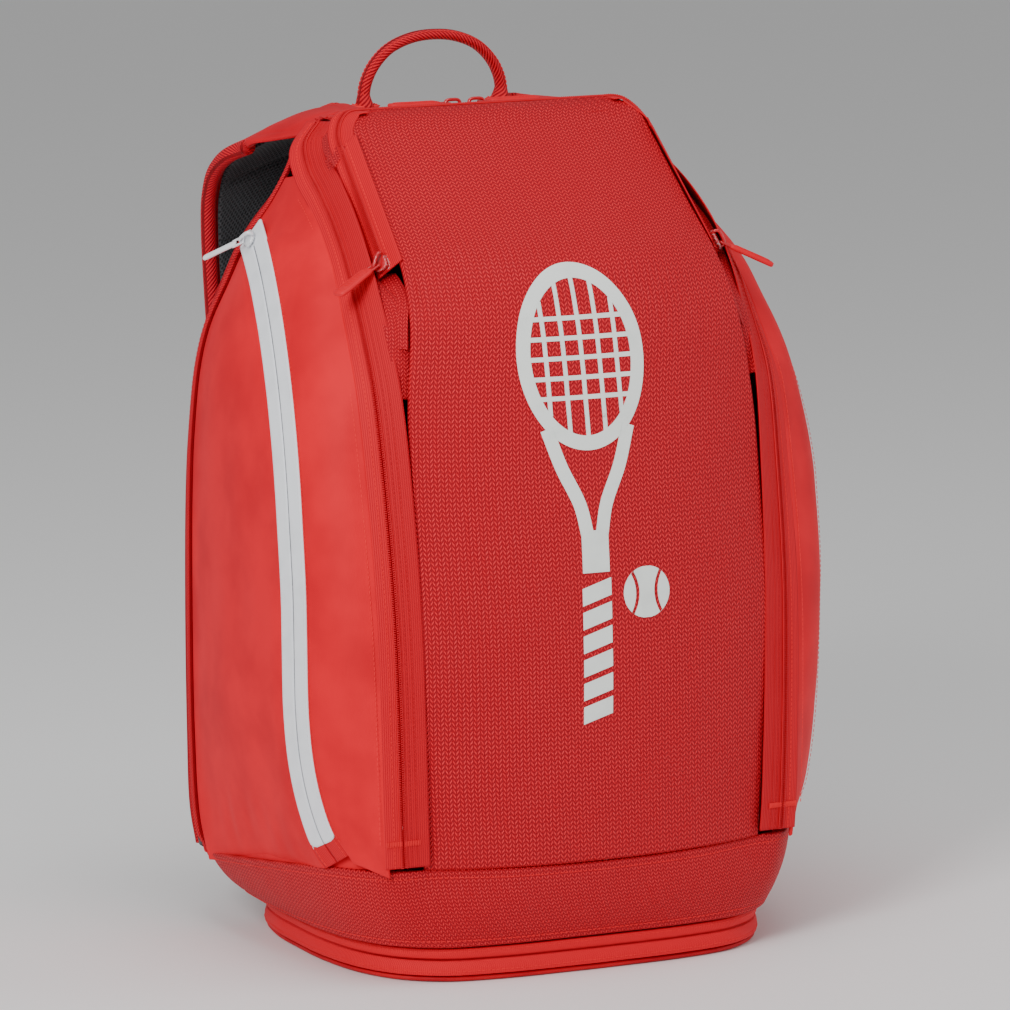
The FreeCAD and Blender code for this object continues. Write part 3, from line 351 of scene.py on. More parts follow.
# ------------------------------------------------------------------ materials
class NT:
    """Short-hand for building a node tree."""
    def __init__(self, name):
        self.m = bpy.data.materials.new(name)
        self.m.use_nodes = True
        self.t = self.m.node_tree
        self.b = self.t.nodes["Principled BSDF"]

    def n(self, kind, **k):
        x = self.t.nodes.new(kind)
        for a, v in k.items():
            setattr(x, a, v)
        return x

    def put(self, sock, v):
        if hasattr(v, "is_output") or isinstance(v, bpy.types.NodeSocket):
            self.t.links.new(v, sock)
        else:
            sock.default_value = v

    def math(self, op, a, b=None, c=None, clamp=False):
        x = self.n("ShaderNodeMath", operation=op, use_clamp=clamp)
        self.put(x.inputs[0], a)
        if b is not None: self.put(x.inputs[1], b)
        if c is not None: self.put(x.inputs[2], c)
        return x.outputs[0]

    def mix(self, f, a, b):
        x = self.n("ShaderNodeMix", data_type="RGBA")
        self.put(x.inputs[0], f)
        self.put(x.inputs[6], a)
        self.put(x.inputs[7], b)
        return x.outputs[2]

    def ramp(self, f, lo, hi):
        x = self.n("ShaderNodeMapRange", interpolation_type="SMOOTHSTEP")
        self.put(x.inputs[0], f)
        x.inputs[1].default_value, x.inputs[2].default_value = lo, hi
        return x.outputs[0]

    def uv(self):
        c = self.n("ShaderNodeTexCoord")
        s = self.n("ShaderNodeSeparateXYZ")
        self.t.links.new(c.outputs["UV"], s.inputs[0])
        return s.outputs[0], s.outputs[1], c.outputs["UV"], c.outputs["Object"]

    def noise(self, vec, scale, detail=2.0, rough=.5):
        x = self.n("ShaderNodeTexNoise")
        self.t.links.new(vec, x.inputs["Vector"])
        x.inputs["Scale"].default_value = scale
        x.inputs["Detail"].default_value = detail
        x.inputs["Roughness"].default_value = rough
        return x.outputs[0]

    def bump(self, h, strength, dist):
        x = self.n("ShaderNodeBump")
        x.inputs["Strength"].default_value = strength
        x.inputs["Distance"].default_value = dist
        self.put(x.inputs["Height"], h)
        self.t.links.new(x.outputs[0], self.b.inputs["Normal"])

    def base(self, color, rough=.6, spec=.3, sheen=0.0, tint=(1, .6, .6, 1), coat=0.0, srough=.5):
        self.put(self.b.inputs["Base Color"], color)
        self.put(self.b.inputs["Roughness"], rough)
        self.b.inputs["Specular IOR Level"].default_value = spec
        self.b.inputs["Sheen Weight"].default_value = sheen
        self.b.inputs["Sheen Roughness"].default_value = srough
        self.b.inputs["Sheen Tint"].default_value = tint
        self.b.inputs["Coat Weight"].default_value = coat


def C(r, g, b):
    return (r, g, b, 1.0)


RED_D, RED_M, RED_L = C(.30, .0, .008), C(.72, .006, .016), C(.92, .045, .055)


def jacquard(name="jacquard", pu=4.3, pv=2.9, deep=1.0):
    """Herringbone of short raised floats; UVs are in millimetres."""
    k = NT(name)
    u, v, uv, ob = k.uv()
    wob = k.noise(uv, .09, 1)
    u = k.math("ADD", u, k.math("MULTIPLY", k.math("SUBTRACT", wob, .5), .9))
    c = k.math("DIVIDE", u, pu / 2)
    cell = k.math("FLOOR", c)
    fu = k.math("SUBTRACT", k.math("FRACT", c), .5)
    sgn = k.math("SUBTRACT", k.math("MULTIPLY", k.math("FLOORED_MODULO", cell, 2.0), 2.0), 1.0)
    s = k.math("ADD", k.math("DIVIDE", v, pv), k.math("MULTIPLY", k.math("MULTIPLY", fu, sgn), .95))
    st = k.math("ADD", k.math("MULTIPLY", k.math("COSINE", k.math("MULTIPLY", s, 2 * math.pi)), .5), .5)
    edge = k.ramp(k.math("SUBTRACT", .5, k.math("ABSOLUTE", fu)), 0.0, .22)
    h = k.math("MULTIPLY", st, edge)
    row = k.math("FLOOR", s)
    w = k.n("ShaderNodeTexWhiteNoise", noise_dimensions="2D")
    cmb = k.n("ShaderNodeCombineXYZ")
    k.put(cmb.inputs[0], cell)
    k.put(cmb.inputs[1], row)
    k.t.links.new(cmb.outputs[0], w.inputs["Vector"])
    fib = k.noise(uv, 2.6, 2, .6)
    hh = k.math("ADD", h, k.math("MULTIPLY", fib, .22))
    # colour follows the weave relief: painted shade in the valleys between floats, painted highlight on the float
    # crests, varied float by float
    col = k.mix(k.ramp(h, .06, .62), C(.34, .0, .008), C(.72, .001, .016))
    painted_highlight = k.math("MULTIPLY", k.ramp(h, .62, 1.0), k.math("ADD", k.math("MULTIPLY", w.outputs[0], .35), .22))
    col = k.mix(painted_highlight, col, C(1.0, .06, .07))
    big = k.noise(ob, 9, 2)
    col = k.mix(k.math("MULTIPLY", k.ramp(big, .35, .75), .12), col, C(.5, .0, .01))
    k.base(col, k.math("SUBTRACT", .62, k.math("MULTIPLY", h, .16)), .22, .06, C(1, .2, .2), 0, .4)
    k.bump(hh, .85 * deep, .00055)
    return k.m


def plain(name="plain", pitch=1.5, color=C(.80, .001, .016), dark=C(.64, .0, .012), painted_highlight=C(.98, .02, .035), sheen=.06, bump=.35, rough=.6):
    """Fine plain weave."""
    k = NT(name)
    u, v, uv, ob = k.uv()
    a = k.math("SINE", k.math("MULTIPLY", u, 2 * math.pi / pitch))
    b = k.math("SINE", k.math("MULTIPLY", v, 2 * math.pi / (pitch * .8)))
    chk = k.math("MULTIPLY", a, b)
    f1 = k.noise(uv, 1.1, 3, .65)
    f2 = k.noise(ob, 26, 3, .5)
    m = k.n("ShaderNodeMapping")
    m.inputs["Scale"].default_value = (.16, 1.6, 1)
    k.t.links.new(uv, m.inputs[0])
    slub = k.noise(m.outputs[0], .9, 2, .5)
    h = k.math("ADD", k.math("MULTIPLY", chk, .3), k.math("ADD", k.math("MULTIPLY", f1, .6), k.math("MULTIPLY", slub, .35)))
    col = k.mix(k.ramp(f2, .3, .75), color, dark)
    # painted highlight on the crests of the weave relief
    col = k.mix(k.math("MULTIPLY", k.ramp(h, .55, .95), .34), col, painted_highlight)
    k.base(col, rough, .18, sheen, C(1, .2, .2), 0, .45)
    k.bump(h, bump, .0003)
    return k.m


def ribbed(name, color, dark, pitch=1.7, ang=0.0, bump=.9, rough=.6, sheen=.15, painted_highlight=None):
    """Ribs across (ang 0) or slanted; v runs along the piece."""
    k = NT(name)
    u, v, uv, ob = k.uv()
    s = k.math("ADD", k.math("DIVIDE", v, pitch), k.math("MULTIPLY", u, ang))
    r = k.math("ADD", k.math("MULTIPLY", k.math("COSINE", k.math("MULTIPLY", s, 2 * math.pi)), .5), .5)
    y = k.math("ADD", k.math("MULTIPLY", k.math("COSINE", k.math("MULTIPLY", u, 2 * math.pi / .8)), .5), .5)
    f = k.noise(uv, 1.9, 2, .6)
    h = k.math("ADD", r, k.math("ADD", k.math("MULTIPLY", y, .18), k.math("MULTIPLY", f, .3)))
    # painted shade in the grooves between ribs, painted highlight on the rib crests
    col = k.mix(k.ramp(r, .05, .6), dark, color)
    if painted_highlight is not None:
        col = k.mix(k.math("MULTIPLY", k.ramp(h, .9, 1.35), .4), col, painted_highlight)
    k.base(col, rough, .18, sheen * .4, C(1, .25, .25) if color[0] > .3 else C(.4, .4, .4))
    k.bump(h, bump, .00035)
    return k.m


def smooth_mat(name, color, rough=.35, spec=.5, grain=.1, coat=0.0, metal=0.0, wear=None):
    k = NT(name)
    u, v, uv, ob = k.uv()
    n1 = k.noise(ob, 420, 3, .6)
    n2 = k.noise(ob, 60, 2, .5)
    col = k.mix(k.math("MULTIPLY", k.ramp(n2, .45, .7), .22), color, tuple(c * .72 for c in color[:3]) + (1,))
    if wear is not None:
        g = k.n("ShaderNodeNewGeometry")
        edge = k.ramp(g.outputs["Pointiness"], .53, .62)
        col = k.mix(k.math("MULTIPLY", edge, k.ramp(k.noise(ob, 900, 2), .5, .65)), col, wear)
    k.base(col, k.math("ADD", rough, k.math("MULTIPLY", n1, .12)), spec, 0, coat=coat)
    k.b.inputs["Metallic"].default_value = metal
    k.bump(n1, grain, .0002)
    return k.m


def mesh_mat(name, base=C(.012, .012, .014), hi=C(.07, .07, .075), p=2.6):
    """Black spacer mesh: hexagonal holes between knitted ridges."""
    k = NT(name)
    u, v, uv, ob = k.uv()
    def hexd(ou, ov):
        a = k.math("SUBTRACT", k.math("FRACT", k.math("ADD", k.math("DIVIDE", u, p), ou)), .5)
        b = k.math("MULTIPLY", k.math("SUBTRACT", k.math("FRACT", k.math("ADD", k.math("DIVIDE", v, p * 1.5), ov)), .5), 1.5)
        return k.math("SQRT", k.math("ADD", k.math("MULTIPLY", a, a), k.math("MULTIPLY", b, b)))
    d = k.math("MINIMUM", hexd(0, 0), hexd(.5, .5))
    h = k.ramp(d, .16, .42)
    f = k.noise(uv, 2.2, 2)
    # painted shade in the holes, lighter knitted ridges as painted highlight
    col = k.mix(k.math("MULTIPLY", h, k.math("ADD", f, .3)), base, hi)
    k.base(col, .75, .25, .25, C(.5, .5, .52))
    k.bump(k.math("ADD", h, k.math("MULTIPLY", f, .3)), .9, .0006)
    return k.m


def tape_mat(name, color, dark, painted_highlight):
    """Knitted zip tape: fine lengthwise wales."""
    k = NT(name)
    u, v, uv, ob = k.uv()
    a = k.math("ADD", k.math("MULTIPLY", k.math("COSINE", k.math("MULTIPLY", u, 2 * math.pi / 1.25)), .5), .5)
    b = k.math("ADD", k.math("MULTIPLY", k.math("COSINE", k.math("MULTIPLY", k.math("ADD", v, k.math("MULTIPLY", u, .5)), 2 * math.pi / .95)), .5), .5)
    f = k.noise(uv, 1.6, 2)
    h = k.math("ADD", k.math("MULTIPLY", a, .7), k.math("ADD", k.math("MULTIPLY", b, .35), k.math("MULTIPLY", f, .3)))
    # painted shade in the grooves between wales, painted highlight on their crests
    col = k.mix(k.ramp(h, .15, .8), dark, color)
    col = k.mix(k.math("MULTIPLY", k.ramp(h, .85, 1.25), .35), col, painted_highlight)
    k.base(col, .58, .2, .05, C(1, .25, .25) if color[1] < .3 else C(1, 1, 1))
    k.bump(h, .6, .0003)
    return k.m


M_JAC = jacquard()
M_JAC2 = jacquard("jacquard_fine", 3.6, 2.4)
M_SIDE = plain("side_cloth")
M_YOKE = plain("yoke_cloth", color=C(.66, .0, .014), dark=C(.50, .0, .01), sheen=.05)
M_TAPE = tape_mat("zip_tape_red", C(.72, .0, .014), C(.46, .0, .01), C(.95, .03, .04))
# darker copy of the red zip tape: painted shade for the front tapes, which sit in shadow beside the front panel
M_TAPE_SHADED = tape_mat("zip_tape_painted_shade", C(.62, .0, .012), C(.38, .0, .008), C(.85, .01, .02))
M_COIL = smooth_mat("zip_coil_red", C(.62, .0, .012), .42, .3, .1)
M_WHITE = smooth_mat("zip_white_laminate", C(.86, .88, .92), .38, .45, .12)
M_WHITE_E = tape_mat("zip_white_edge", C(.8, .82, .86), C(.5, .52, .56), C(.9, .9, .92))
M_SLIT = smooth_mat("zip_white_slit", C(.42, .45, .50), .5, .3, .2)
M_BIND = ribbed("binding_red", C(.66, .0, .014), C(.32, .0, .008), 1.9, .32, .9, painted_highlight=C(.92, .05, .06))
M_BIND_S = ribbed("binding_strap", C(.66, .0, .014), C(.26, .0, .007), 2.6, .45, 1.0, painted_highlight=C(.92, .06, .07))
M_WEB = ribbed("webbing_red", C(.70, .0, .014), C(.40, .0, .009), 1.4, .25, .7, painted_highlight=C(.9, .03, .04))
M_MESH = mesh_mat("mesh_black")
M_BACK = mesh_mat("mesh_back", C(.014, .014, .016), C(.085, .085, .09), 3.2)
M_LINE = plain("lining_dark", 1.2, C(.035, .035, .038), C(.02, .02, .022), C(.09, .09, .09), .1, .3, .7)
M_BOARD = plain("base_cloth", 1.4, C(.62, .004, .014), C(.45, .0, .01), C(.8, .04, .05), .1, .4, .55)
M_RING = tape_mat("base_ring_tape", C(.80, .001, .016), C(.56, .0, .01), C(.95, .03, .04))
M_SLIDER = smooth_mat("slider_red_lacquer", C(.60, .0, .012), .26, .6, .05, .6, .15, C(.6, .5, .5))
M_SLIDER_W = smooth_mat("slider_white_lacquer", C(.82, .83, .86), .28, .6, .05, .6, .1, C(.55, .55, .56))
M_PULL = smooth_mat("pull_red_rubber", C(.74, .0, .014), .45, .3, .25)
M_PULL_W = smooth_mat("pull_white", C(.80, .80, .82), .5, .35, .3)
M_BUCKLE = smooth_mat("ladder_lock_red", C(.55, .004, .012), .34, .5, .15)
M_THREAD = smooth_mat("thread_red", C(.88, .010, .022), .5, .25, .2)
M_THREAD_D = smooth_mat("thread_deep", C(.52, .0, .010), .5, .25, .2)
M_THREAD_W = smooth_mat("thread_white", C(.82, .82, .84), .5, .4, .2)
M_THREAD_K = smooth_mat("thread_black", C(.03, .03, .032), .5, .4, .2)
M_PRINT = smooth_mat("print_white", C(.86, .90, .86), .42, .45, .35)

# ------------------------------------------------------------------ shared curves
CS, PS = smooth(C_LINE, 241), smooth(P_LINE, 241)
ZS = smooth([a + b for a, b in zip(Z_LINE, Z_NORM)], 241)
BS = smooth(B_LINE, 201)


def mirror_x(P, s):
    """Left-half +x data put on side s."""
    P = np.array(P, float)
    P[..., 0] *= s
    return P


# front skin on a grid that follows the middle line upwards
def p_at(z):
    return np.stack([np.interp(z, PS[:, 2], PS[:, i]) for i in (0, 1)], -1)


def front_surface(nz, nt):
    c = resample(np.stack([np.zeros(len(CS)), CS[:, 0], CS[:, 1]], 1), nz)
    p = p_at(c[:, 2])
    t = np.linspace(-1, 1, nt)
    X = t[None, :] * p[:, :1]
    Y = c[:, 1:2] + (p[:, 1:2] - c[:, 1:2]) * (np.abs(t) ** 2.3)[None, :]
    Z = np.broadcast_to(c[:, 2:3], X.shape)
    return np.stack([X, Y, Z], 2)


def on_front(x, z):
    """Point and normal of the front skin at x, z (arrays)."""
    x, z = np.asarray(x, float), np.asarray(z, float)
    def f(x, z):
        yc = np.interp(z, CS[:, 1], CS[:, 0])
        p = p_at(z)
        t = x / p[..., 0]
        return np.stack([x, yc + (p[..., 1] - yc) * np.abs(t) ** 2.3, z], -1)
    P = f(x, z)
    N = unit(np.cross(f(x + .5, z) - f(x - .5, z), f(x, z + .5) - f(x, z - .5)))
    N = np.where(N[..., 1:2] > 0, -N, N)
    return P, N

PIECES = []


def keep(ob, body, slot, *nodes):
    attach(ob, body)
    if nodes:
        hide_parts(*nodes)
    PIECES.append(ob)
    return ob


# ------------------------------------------------------------------ front panel and flap, one padded cloth
G = front_surface(220, 160)


def front_wrinkle(G, au, av, d):
    z, x = G[..., 2], G[..., 0]
    w = .55 * noise(G * A3(1, 1, .6), 55, 0) + .28 * noise(G, 22, 1)
    soft = np.exp(-((z - 405) / 34) ** 2) * .9 * noise(G * A3(.35, 1, 1.2), 24, 2)      # slack where the padding bends
    top = np.exp(-((z - 500) / 14) ** 2) * .7 * noise(G * A3(1, .3, .3), 26, 3)
    rim = -.9 * np.exp(-((d - 5.5) / 2.2) ** 2)                                            # edge stitched down
    return w + soft + top + rim


front, FO, FN, fau, fav = cushion("front_cloth", G, 4.6, 4.2, M_JAC, (0, 200, 260), 150, 90, front_wrinkle)
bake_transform(front)
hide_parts("front_panel", "front_flap_panel")

# topstitch just inside the border of the front panel, on the two bodies
def border_line(inset, z0, z1, s):
    z = np.arange(z0, z1, .8)
    p = p_at(z)
    return on_front(s * (p[:, 0] - inset), z)


st_pod, st_flap = [], []
for s in (-1, 1):
    for z0, z1, bag in ((76, 424, st_pod), (438, 497, st_flap)):
        P, N = border_line(6.2, z0, z1, s)
        Cc, T, Nn = along(P, N, 3.1)
        bag.append(capsules("st", Cc - Nn * .75, T, Nn, 2.3, .62, .5, M_THREAD_D))
zt = 500.5
x = np.linspace(-78, 78, 300)
P, N = on_front(x, np.full_like(x, zt))
Cc, T, Nn = along(P, N, 3.1)
st_flap.append(capsules("st", Cc - Nn * .75, T, Nn, 2.3, .62, .5, M_THREAD_D))
keep(join("stitch_front_panel", st_pod), "front_pod", "jacquard_red")
keep(join("stitch_front_flap", st_flap), "front_flap", "jacquard_red")

# ------------------------------------------------------------------ plain racket-and-ball pictogram, a film on the cloth
def film(name, outer, inner, n=2, h=.34):
    """Raised film between two matched 2D outlines (x, z)."""
    outer, inner = np.asarray(outer, float), np.asarray(inner, float)
    rows = []
    for k in range(n + 1):
        u = k / n
        rows.append(outer * (1 - u) + inner * u)
    R = np.stack(rows)                                  # (n+1, m, 2)
    P, N = on_front(R[..., 0], R[..., 1])
    wr = front_wrinkle(P, None, None, np.full(P.shape[:2], 50.0))[..., None]
    top = P + N * (h + wr)
    low = P + N * (wr - .5)
    a, b = top.shape[:2]
    V = np.concatenate([top.reshape(-1, 3), low[0], low[-1]])
    F = grid_faces(a, b)
    o = a * b
    for j in range(b - 1):
        F.append([j, j + 1, o + j + 1, o + j])
        k = (a - 1) * b
        F.append([k + j + 1, k + j, o + b + j, o + b + j + 1])
    for (i0, L) in ((0, 0), (b - 1, b - 1)):
        col = [i * b + L for i in range(a)]
        F.append(col + [o + b + L, o + L] if L else col[::-1] + [o + L, o + b + L])
    uv = np.concatenate([R.reshape(-1, 2), R[0], R[-1]])
    return mesh_obj(name, V, F, M_PRINT, uv, False)


def ribbon2(p, q, w, n=40):
    p, q = A3(*p), A3(*q)
    t = (q - p) / np.linalg.norm(q - p)
    m = A3(-t[1], t[0]) * w / 2
    L = p + (q - p) * np.linspace(0, 1, n)[:, None]
    return L + m, L - m


EX, EZ = -9.0, 0.0
hc, ha, hb = (EX, 372.0), 41.0, 54.0            # racket head: centre and half sizes
th = np.linspace(0, 2 * math.pi, 161)
ell = lambda k: np.stack([hc[0] + (ha - k) * np.sin(th), hc[1] + (hb - k) * np.cos(th)], 1)
em = [film("e", ell(0), ell(8.6), 3)]
for i in range(-2, 3):                           # main strings
    x = i * 11.5
    zz = (hb - 8.0) * math.sqrt(max(0, 1 - (x / (ha - 8.0)) ** 2))
    a, b = ribbon2((EX + x, hc[1] - zz), (EX + x, hc[1] + zz), 2.7)
    em.append(film("e", a, b, 1, .3))
for i in range(-3, 4):                           # cross strings, cut into runs between the mains
    z = i * 11.5
    xx = (ha - 8.0) * math.sqrt(max(0, 1 - (z / (hb - 8.0)) ** 2))
    xs_ = sorted([-xx, xx] + [k * 11.5 + e for k in range(-2, 3) for e in (-1.35, 1.35) if abs(k * 11.5 + e) < xx])
    for p_, q_ in zip(xs_[::2], xs_[1::2]):
        if q_ - p_ > .8:
            a, b = ribbon2((EX + p_, hc[1] + z), (EX + q_, hc[1] + z), 2.7, 8)
            em.append(film("e", a, b, 1, .3))
for s in (-1, 1):                                # throat
    a0, a1 = (EX + s * 26.5, 331.5), (EX + s * 4.6, 268.0)
    cen = smooth([a0, (EX + s * 19.0, 309), (EX + s * 8.5, 286), a1], 30)
    t = unit(np.gradient(cen, axis=0))
    m = np.stack([-t[:, 1], t[:, 0]], 1) * 4.1
    em.append(film("e", cen + m, cen - m, 2))
a, b = ribbon2((EX, 271), (EX, 246), 17.4)
em.append(film("e", a, b, 3))
for i in range(6):                               # wrapped grip
    z1 = 242 - i * 14.2
    L = np.array([(EX - 9.4, z1 - 5.2), (EX + 9.4, z1 + .6)])
    lo = np.array([(EX - 9.4, z1 - 15.6), (EX + 9.4, z1 - 9.8)])
    top = L[0] + (L[1] - L[0]) * np.linspace(0, 1, 12)[:, None]
    bot = lo[0] + (lo[1] - lo[0]) * np.linspace(0, 1, 12)[:, None]
    em.append(film("e", top, bot, 3))
bc = (EX + 33.0, 232.0)                          # ball with a seam gap
tb = np.linspace(0, 2 * math.pi, 97)
def disc_part(x0, x1):
    """Part of the ball between two bowed lines."""
    t = np.linspace(-1, 1, 41)
    R = 15.5
    zc = t * R * .985
    half = np.sqrt(np.maximum(0, R * R - zc * zc))
    f = lambda k: np.clip(k(zc), -half, half)
    return np.stack([bc[0] + f(x0), bc[1] + zc], 1), np.stack([bc[0] + f(x1), bc[1] + zc], 1)
bow = lambda x, k: (lambda z: x + k * (z / 15.5) ** 2)
for x0, x1 in ((lambda z: -99 + 0 * z, bow(-7.4, -5.5)), (bow(-5.0, -5.5), bow(5.0, 5.5)), (bow(7.4, 5.5), lambda z: 99 + 0 * z)):
    a, b = disc_part(x0, x1)
    em.append(film("e", b, a, 3))
emblem = join("pictogram_film", em)
for p in emblem.data.polygons:
    p.use_smooth = False
keep(emblem, "front_pod", "jacquard_red")

# ------------------------------------------------------------------ gussets beside the flap
def two_line(a, b, n, cols, bulge, s, ref):
    a, b = mirror_x(a, s), mirror_x(b, s)
    u = np.linspace(0, 1, cols)[None, :, None]
    G = a[:, None] * (1 - u) + b[:, None] * u
    N = normals(G, ref)
    v = np.linspace(0, 1, len(a))
    k = bulge * np.sin(np.pi * u[0, :, 0])[None, :] * np.minimum(1, np.minimum(4 * v, 4 * (1 - v)))[:, None]
    return G + N * k[..., None]


for s, nm in ((-1, "left"), (1, "right")):
    a, b = smooth(G_P, 120), smooth(G_Z, 120) + A3(.9, 0, 0)
    tuck = 1 - smin(a[:, 2], 404, 420)
    a = a + A3(-2.2, 1.2, -1.2) + tuck[:, None] * A3(-4.5, 2.5, -.5)
    G = two_line(a, b, 120, 30, 1.4, s, (0, 60, 380))
    ob, *_ = cushion("gusset_cloth_" + nm, G, 1.5, .8, M_JAC2, (0, 60, 380), 90, 14, lambda G, au, av, d: .35 * noise(G, 14, 2))
    keep(ob, "front_pod", "jacquard_red", "front_gusset_" + nm)

# ------------------------------------------------------------------ zips
def frame_of(P, N):
    T = unit(np.gradient(P, axis=0))
    L = unit(np.cross(N, T))
    return T, L, np.cross(T, L)


def tape(name, P, N, a0, a1, mat, h0=-.8, h1=0.0, cols=7, fold=0.0, wavy=.12):
    """Flat tape from a0 to a1 sideways of P; its outer edge may roll under."""
    T, L, M = frame_of(P, N)
    a = np.linspace(a0, a1, cols)
    lim = max(abs(a0), abs(a1))
    prof = -fold * np.clip((np.abs(a) - (lim - 2.2)) / 2.2, 0, 1) ** 2
    top = P[:, None] + L[:, None] * a[None, :, None] + M[:, None] * (h1 + prof)[None, :, None]
    top = top + M[:, None] * (noise(top, 16, 4) * wavy)[..., None]
    low = top + M[:, None] * (h0 - h1)
    m, n = top.shape[:2]
    k = m * n
    V = np.concatenate([top.reshape(-1, 3), low.reshape(-1, 3)])
    fl = np.dot(np.cross(top[1, 0] - top[0, 0], top[0, 1] - top[0, 0]), M[0]) > 0
    F = grid_faces(m, n, 0, fl) + grid_faces(m, n, k, not fl)
    ring = [j for j in range(n)] + [i * n + n - 1 for i in range(1, m)] + [(m - 1) * n + j for j in range(n - 2, -1, -1)] + [i * n for i in range(m - 2, 0, -1)]
    for p, q in zip(ring, ring[1:] + ring[:1]):
        F.append([p, q, q + k, p + k] if fl else [q, p, p + k, q + k])
    s_ = arc(top, 0)[:, :1]
    uv = np.stack([np.broadcast_to(a[None, :], (m, n)), np.broadcast_to(s_, (m, n))], 2).reshape(-1, 2)
    return mesh_obj(name, V, F, mat, np.concatenate([uv, uv]))


def coil(P, N, side, mat, pitch=1.35, off=1.0, h=.62):
    """One half of a coil: short bars across, and the cord stitched through them."""
    T, L, M = frame_of(P, N)
    Cc, Tt, Nn = along(P, N, pitch, .4 + (0 if side > 0 else pitch / 2))
    Ll = unit(np.cross(Nn, Tt))
    Nn = np.cross(Tt, Ll)
    bars = capsules("coil", Cc + Ll * (side * off) + Nn * h, Ll + Tt * .18 * side, Nn, 1.7, .8, 1.15, mat)
    line = P + L * (side * 1.75) + M * .42
    cord = tube("cordline", resample(line, max(20, int(len(P)))), .42, mat, seg=6)
    return [bars, cord]


def tape_stitch(P, N, a, mat, pitch=2.9, lift=.12, start=1.0):
    T, L, M = frame_of(P, N)
    Cc, Tt, Nn = along(P + L * a + M * lift, M, pitch, start)
    return capsules("st", Cc, Tt, Nn, 2.1, .5, .42, mat)


def zpath(s, n=240):
    P = mirror_x(ZS[:, :3], s)
    N = np.array(ZS[:, 3:], float)
    N[:, 0] *= -s
    if n:
        Q = resample(np.concatenate([P, N], 1), n)
        return Q[:, :3], unit(Q[:, 3:])
    return P, unit(N)


front_parts, rear_parts = [], []
for s in (-1, 1):
    P, N = zpath(s, 300)
    T, L, M = frame_of(P, N)
    k = 1 if L[150][0] * s > 0 else -1              # +k is outboard
    # the front tapes take the darker tape copy: painted shade
    front_parts += [tape("t", P, N, *sorted((-k * .15, -k * (W_TAPE + 4.5))), M_TAPE_SHADED, cols=11)] + coil(P, N, -k, M_COIL)
    front_parts += [tape_stitch(P, N, -k * 5.0, M_THREAD_D), tape_stitch(P, N, -k * 8.4, M_THREAD_D)]
    rear_parts += [tape("t", P, N, *sorted((k * .15, k * (W_TAPE - .3))), M_TAPE, cols=9)] + coil(P, N, k, M_COIL)
    rear_parts += [tape_stitch(P, N, k * 5.4, M_THREAD)]
    # sewn stop at the lower end
    for parts, kk in ((front_parts, -k), (rear_parts, k)):
        q = P[6]
        bars = [q + L[6] * kk * a + M[6] * .5 + T[6] * 5.0 for a in np.arange(1.0, 10.5, 1.0)]
        parts.append(capsules("st", bars, np.tile(T[6], (len(bars), 1)), np.tile(M[6], (len(bars), 1)), 3.4, .8, .8, M_THREAD))
xt = np.linspace(-X_TOP, X_TOP, 160)
P = np.stack([xt, np.full_like(xt, Y_TOP), np.full_like(xt, Z_TOP)], 1)
N = np.tile(A3(0, 0, 1), (len(P), 1))
T, L, M = frame_of(P, N)
k = 1 if L[50][1] > 0 else -1
front_parts += [tape("t", P, N, *sorted((-k * .15, -k * (W_TAPE - .3))), M_TAPE_SHADED)] + coil(P, N, -k, M_COIL)
rear_parts += [tape("t", P, N, *sorted((k * .15, k * (W_TAPE - .3))), M_TAPE)] + coil(P, N, k, M_COIL)
keep(join("main_zip_front", front_parts), "front_pod", "zip_tape_red", "main_zip_tape_front")
keep(join("main_zip_rear", rear_parts), "pack_body", "zip_tape_red", "main_zip_tape_rear")

# flap zip
qt = unit(Q1 - Q0)
qn = unit(A3(-.86, -.36, .36) - qt * np.dot(A3(-.86, -.36, .36), qt))
gp, fp = [], []
for s in (-1, 1):
    P = Q0 + (Q1 - Q0) * np.linspace(0, 1, 90)[:, None]
    P = P * A3(-s, 1, 1)
    N = np.tile(qn * A3(-s, 1, 1), (90, 1))
    T, L, M = frame_of(P, N)
    k = 1 if L[0][1] > 0 else -1
    gp += [tape("t", P, N, *sorted((k * .15, k * 7.3)), M_TAPE)] + coil(P, N, k, M_COIL) + [tape_stitch(P, N, k * 4.6, M_THREAD)]
    fp += [tape("t", P, N, *sorted((-k * .15, -k * 13.0)), M_TAPE, cols=9)] + coil(P, N, -k, M_COIL) + [tape_stitch(P, N, -k * 4.6, M_THREAD)]
xt = np.linspace(-87, 87, 120)
P = np.stack([xt, np.full_like(xt, 55.5), np.full_like(xt, 506.0)], 1)
N = np.tile(A3(0, 0, 1), (len(P), 1))
T, L, M = frame_of(P, N)
k = 1 if L[50][1] > 0 else -1
gp += [tape("t", P, N, *sorted((k * .15, k * 6.9)), M_TAPE)] + coil(P, N, k, M_COIL)
fp += [tape("t", P, N, *sorted((-k * .15, -k * 6.9)), M_TAPE)] + coil(P, N, -k, M_COIL)
keep(join("flap_zip_gusset_half", gp), "front_pod", "zip_tape_red", "flap_zip_tape_gusset_side")
keep(join("flap_zip_flap_half", fp), "front_flap", "zip_tape_red", "flap_zip_tape_flap_side")

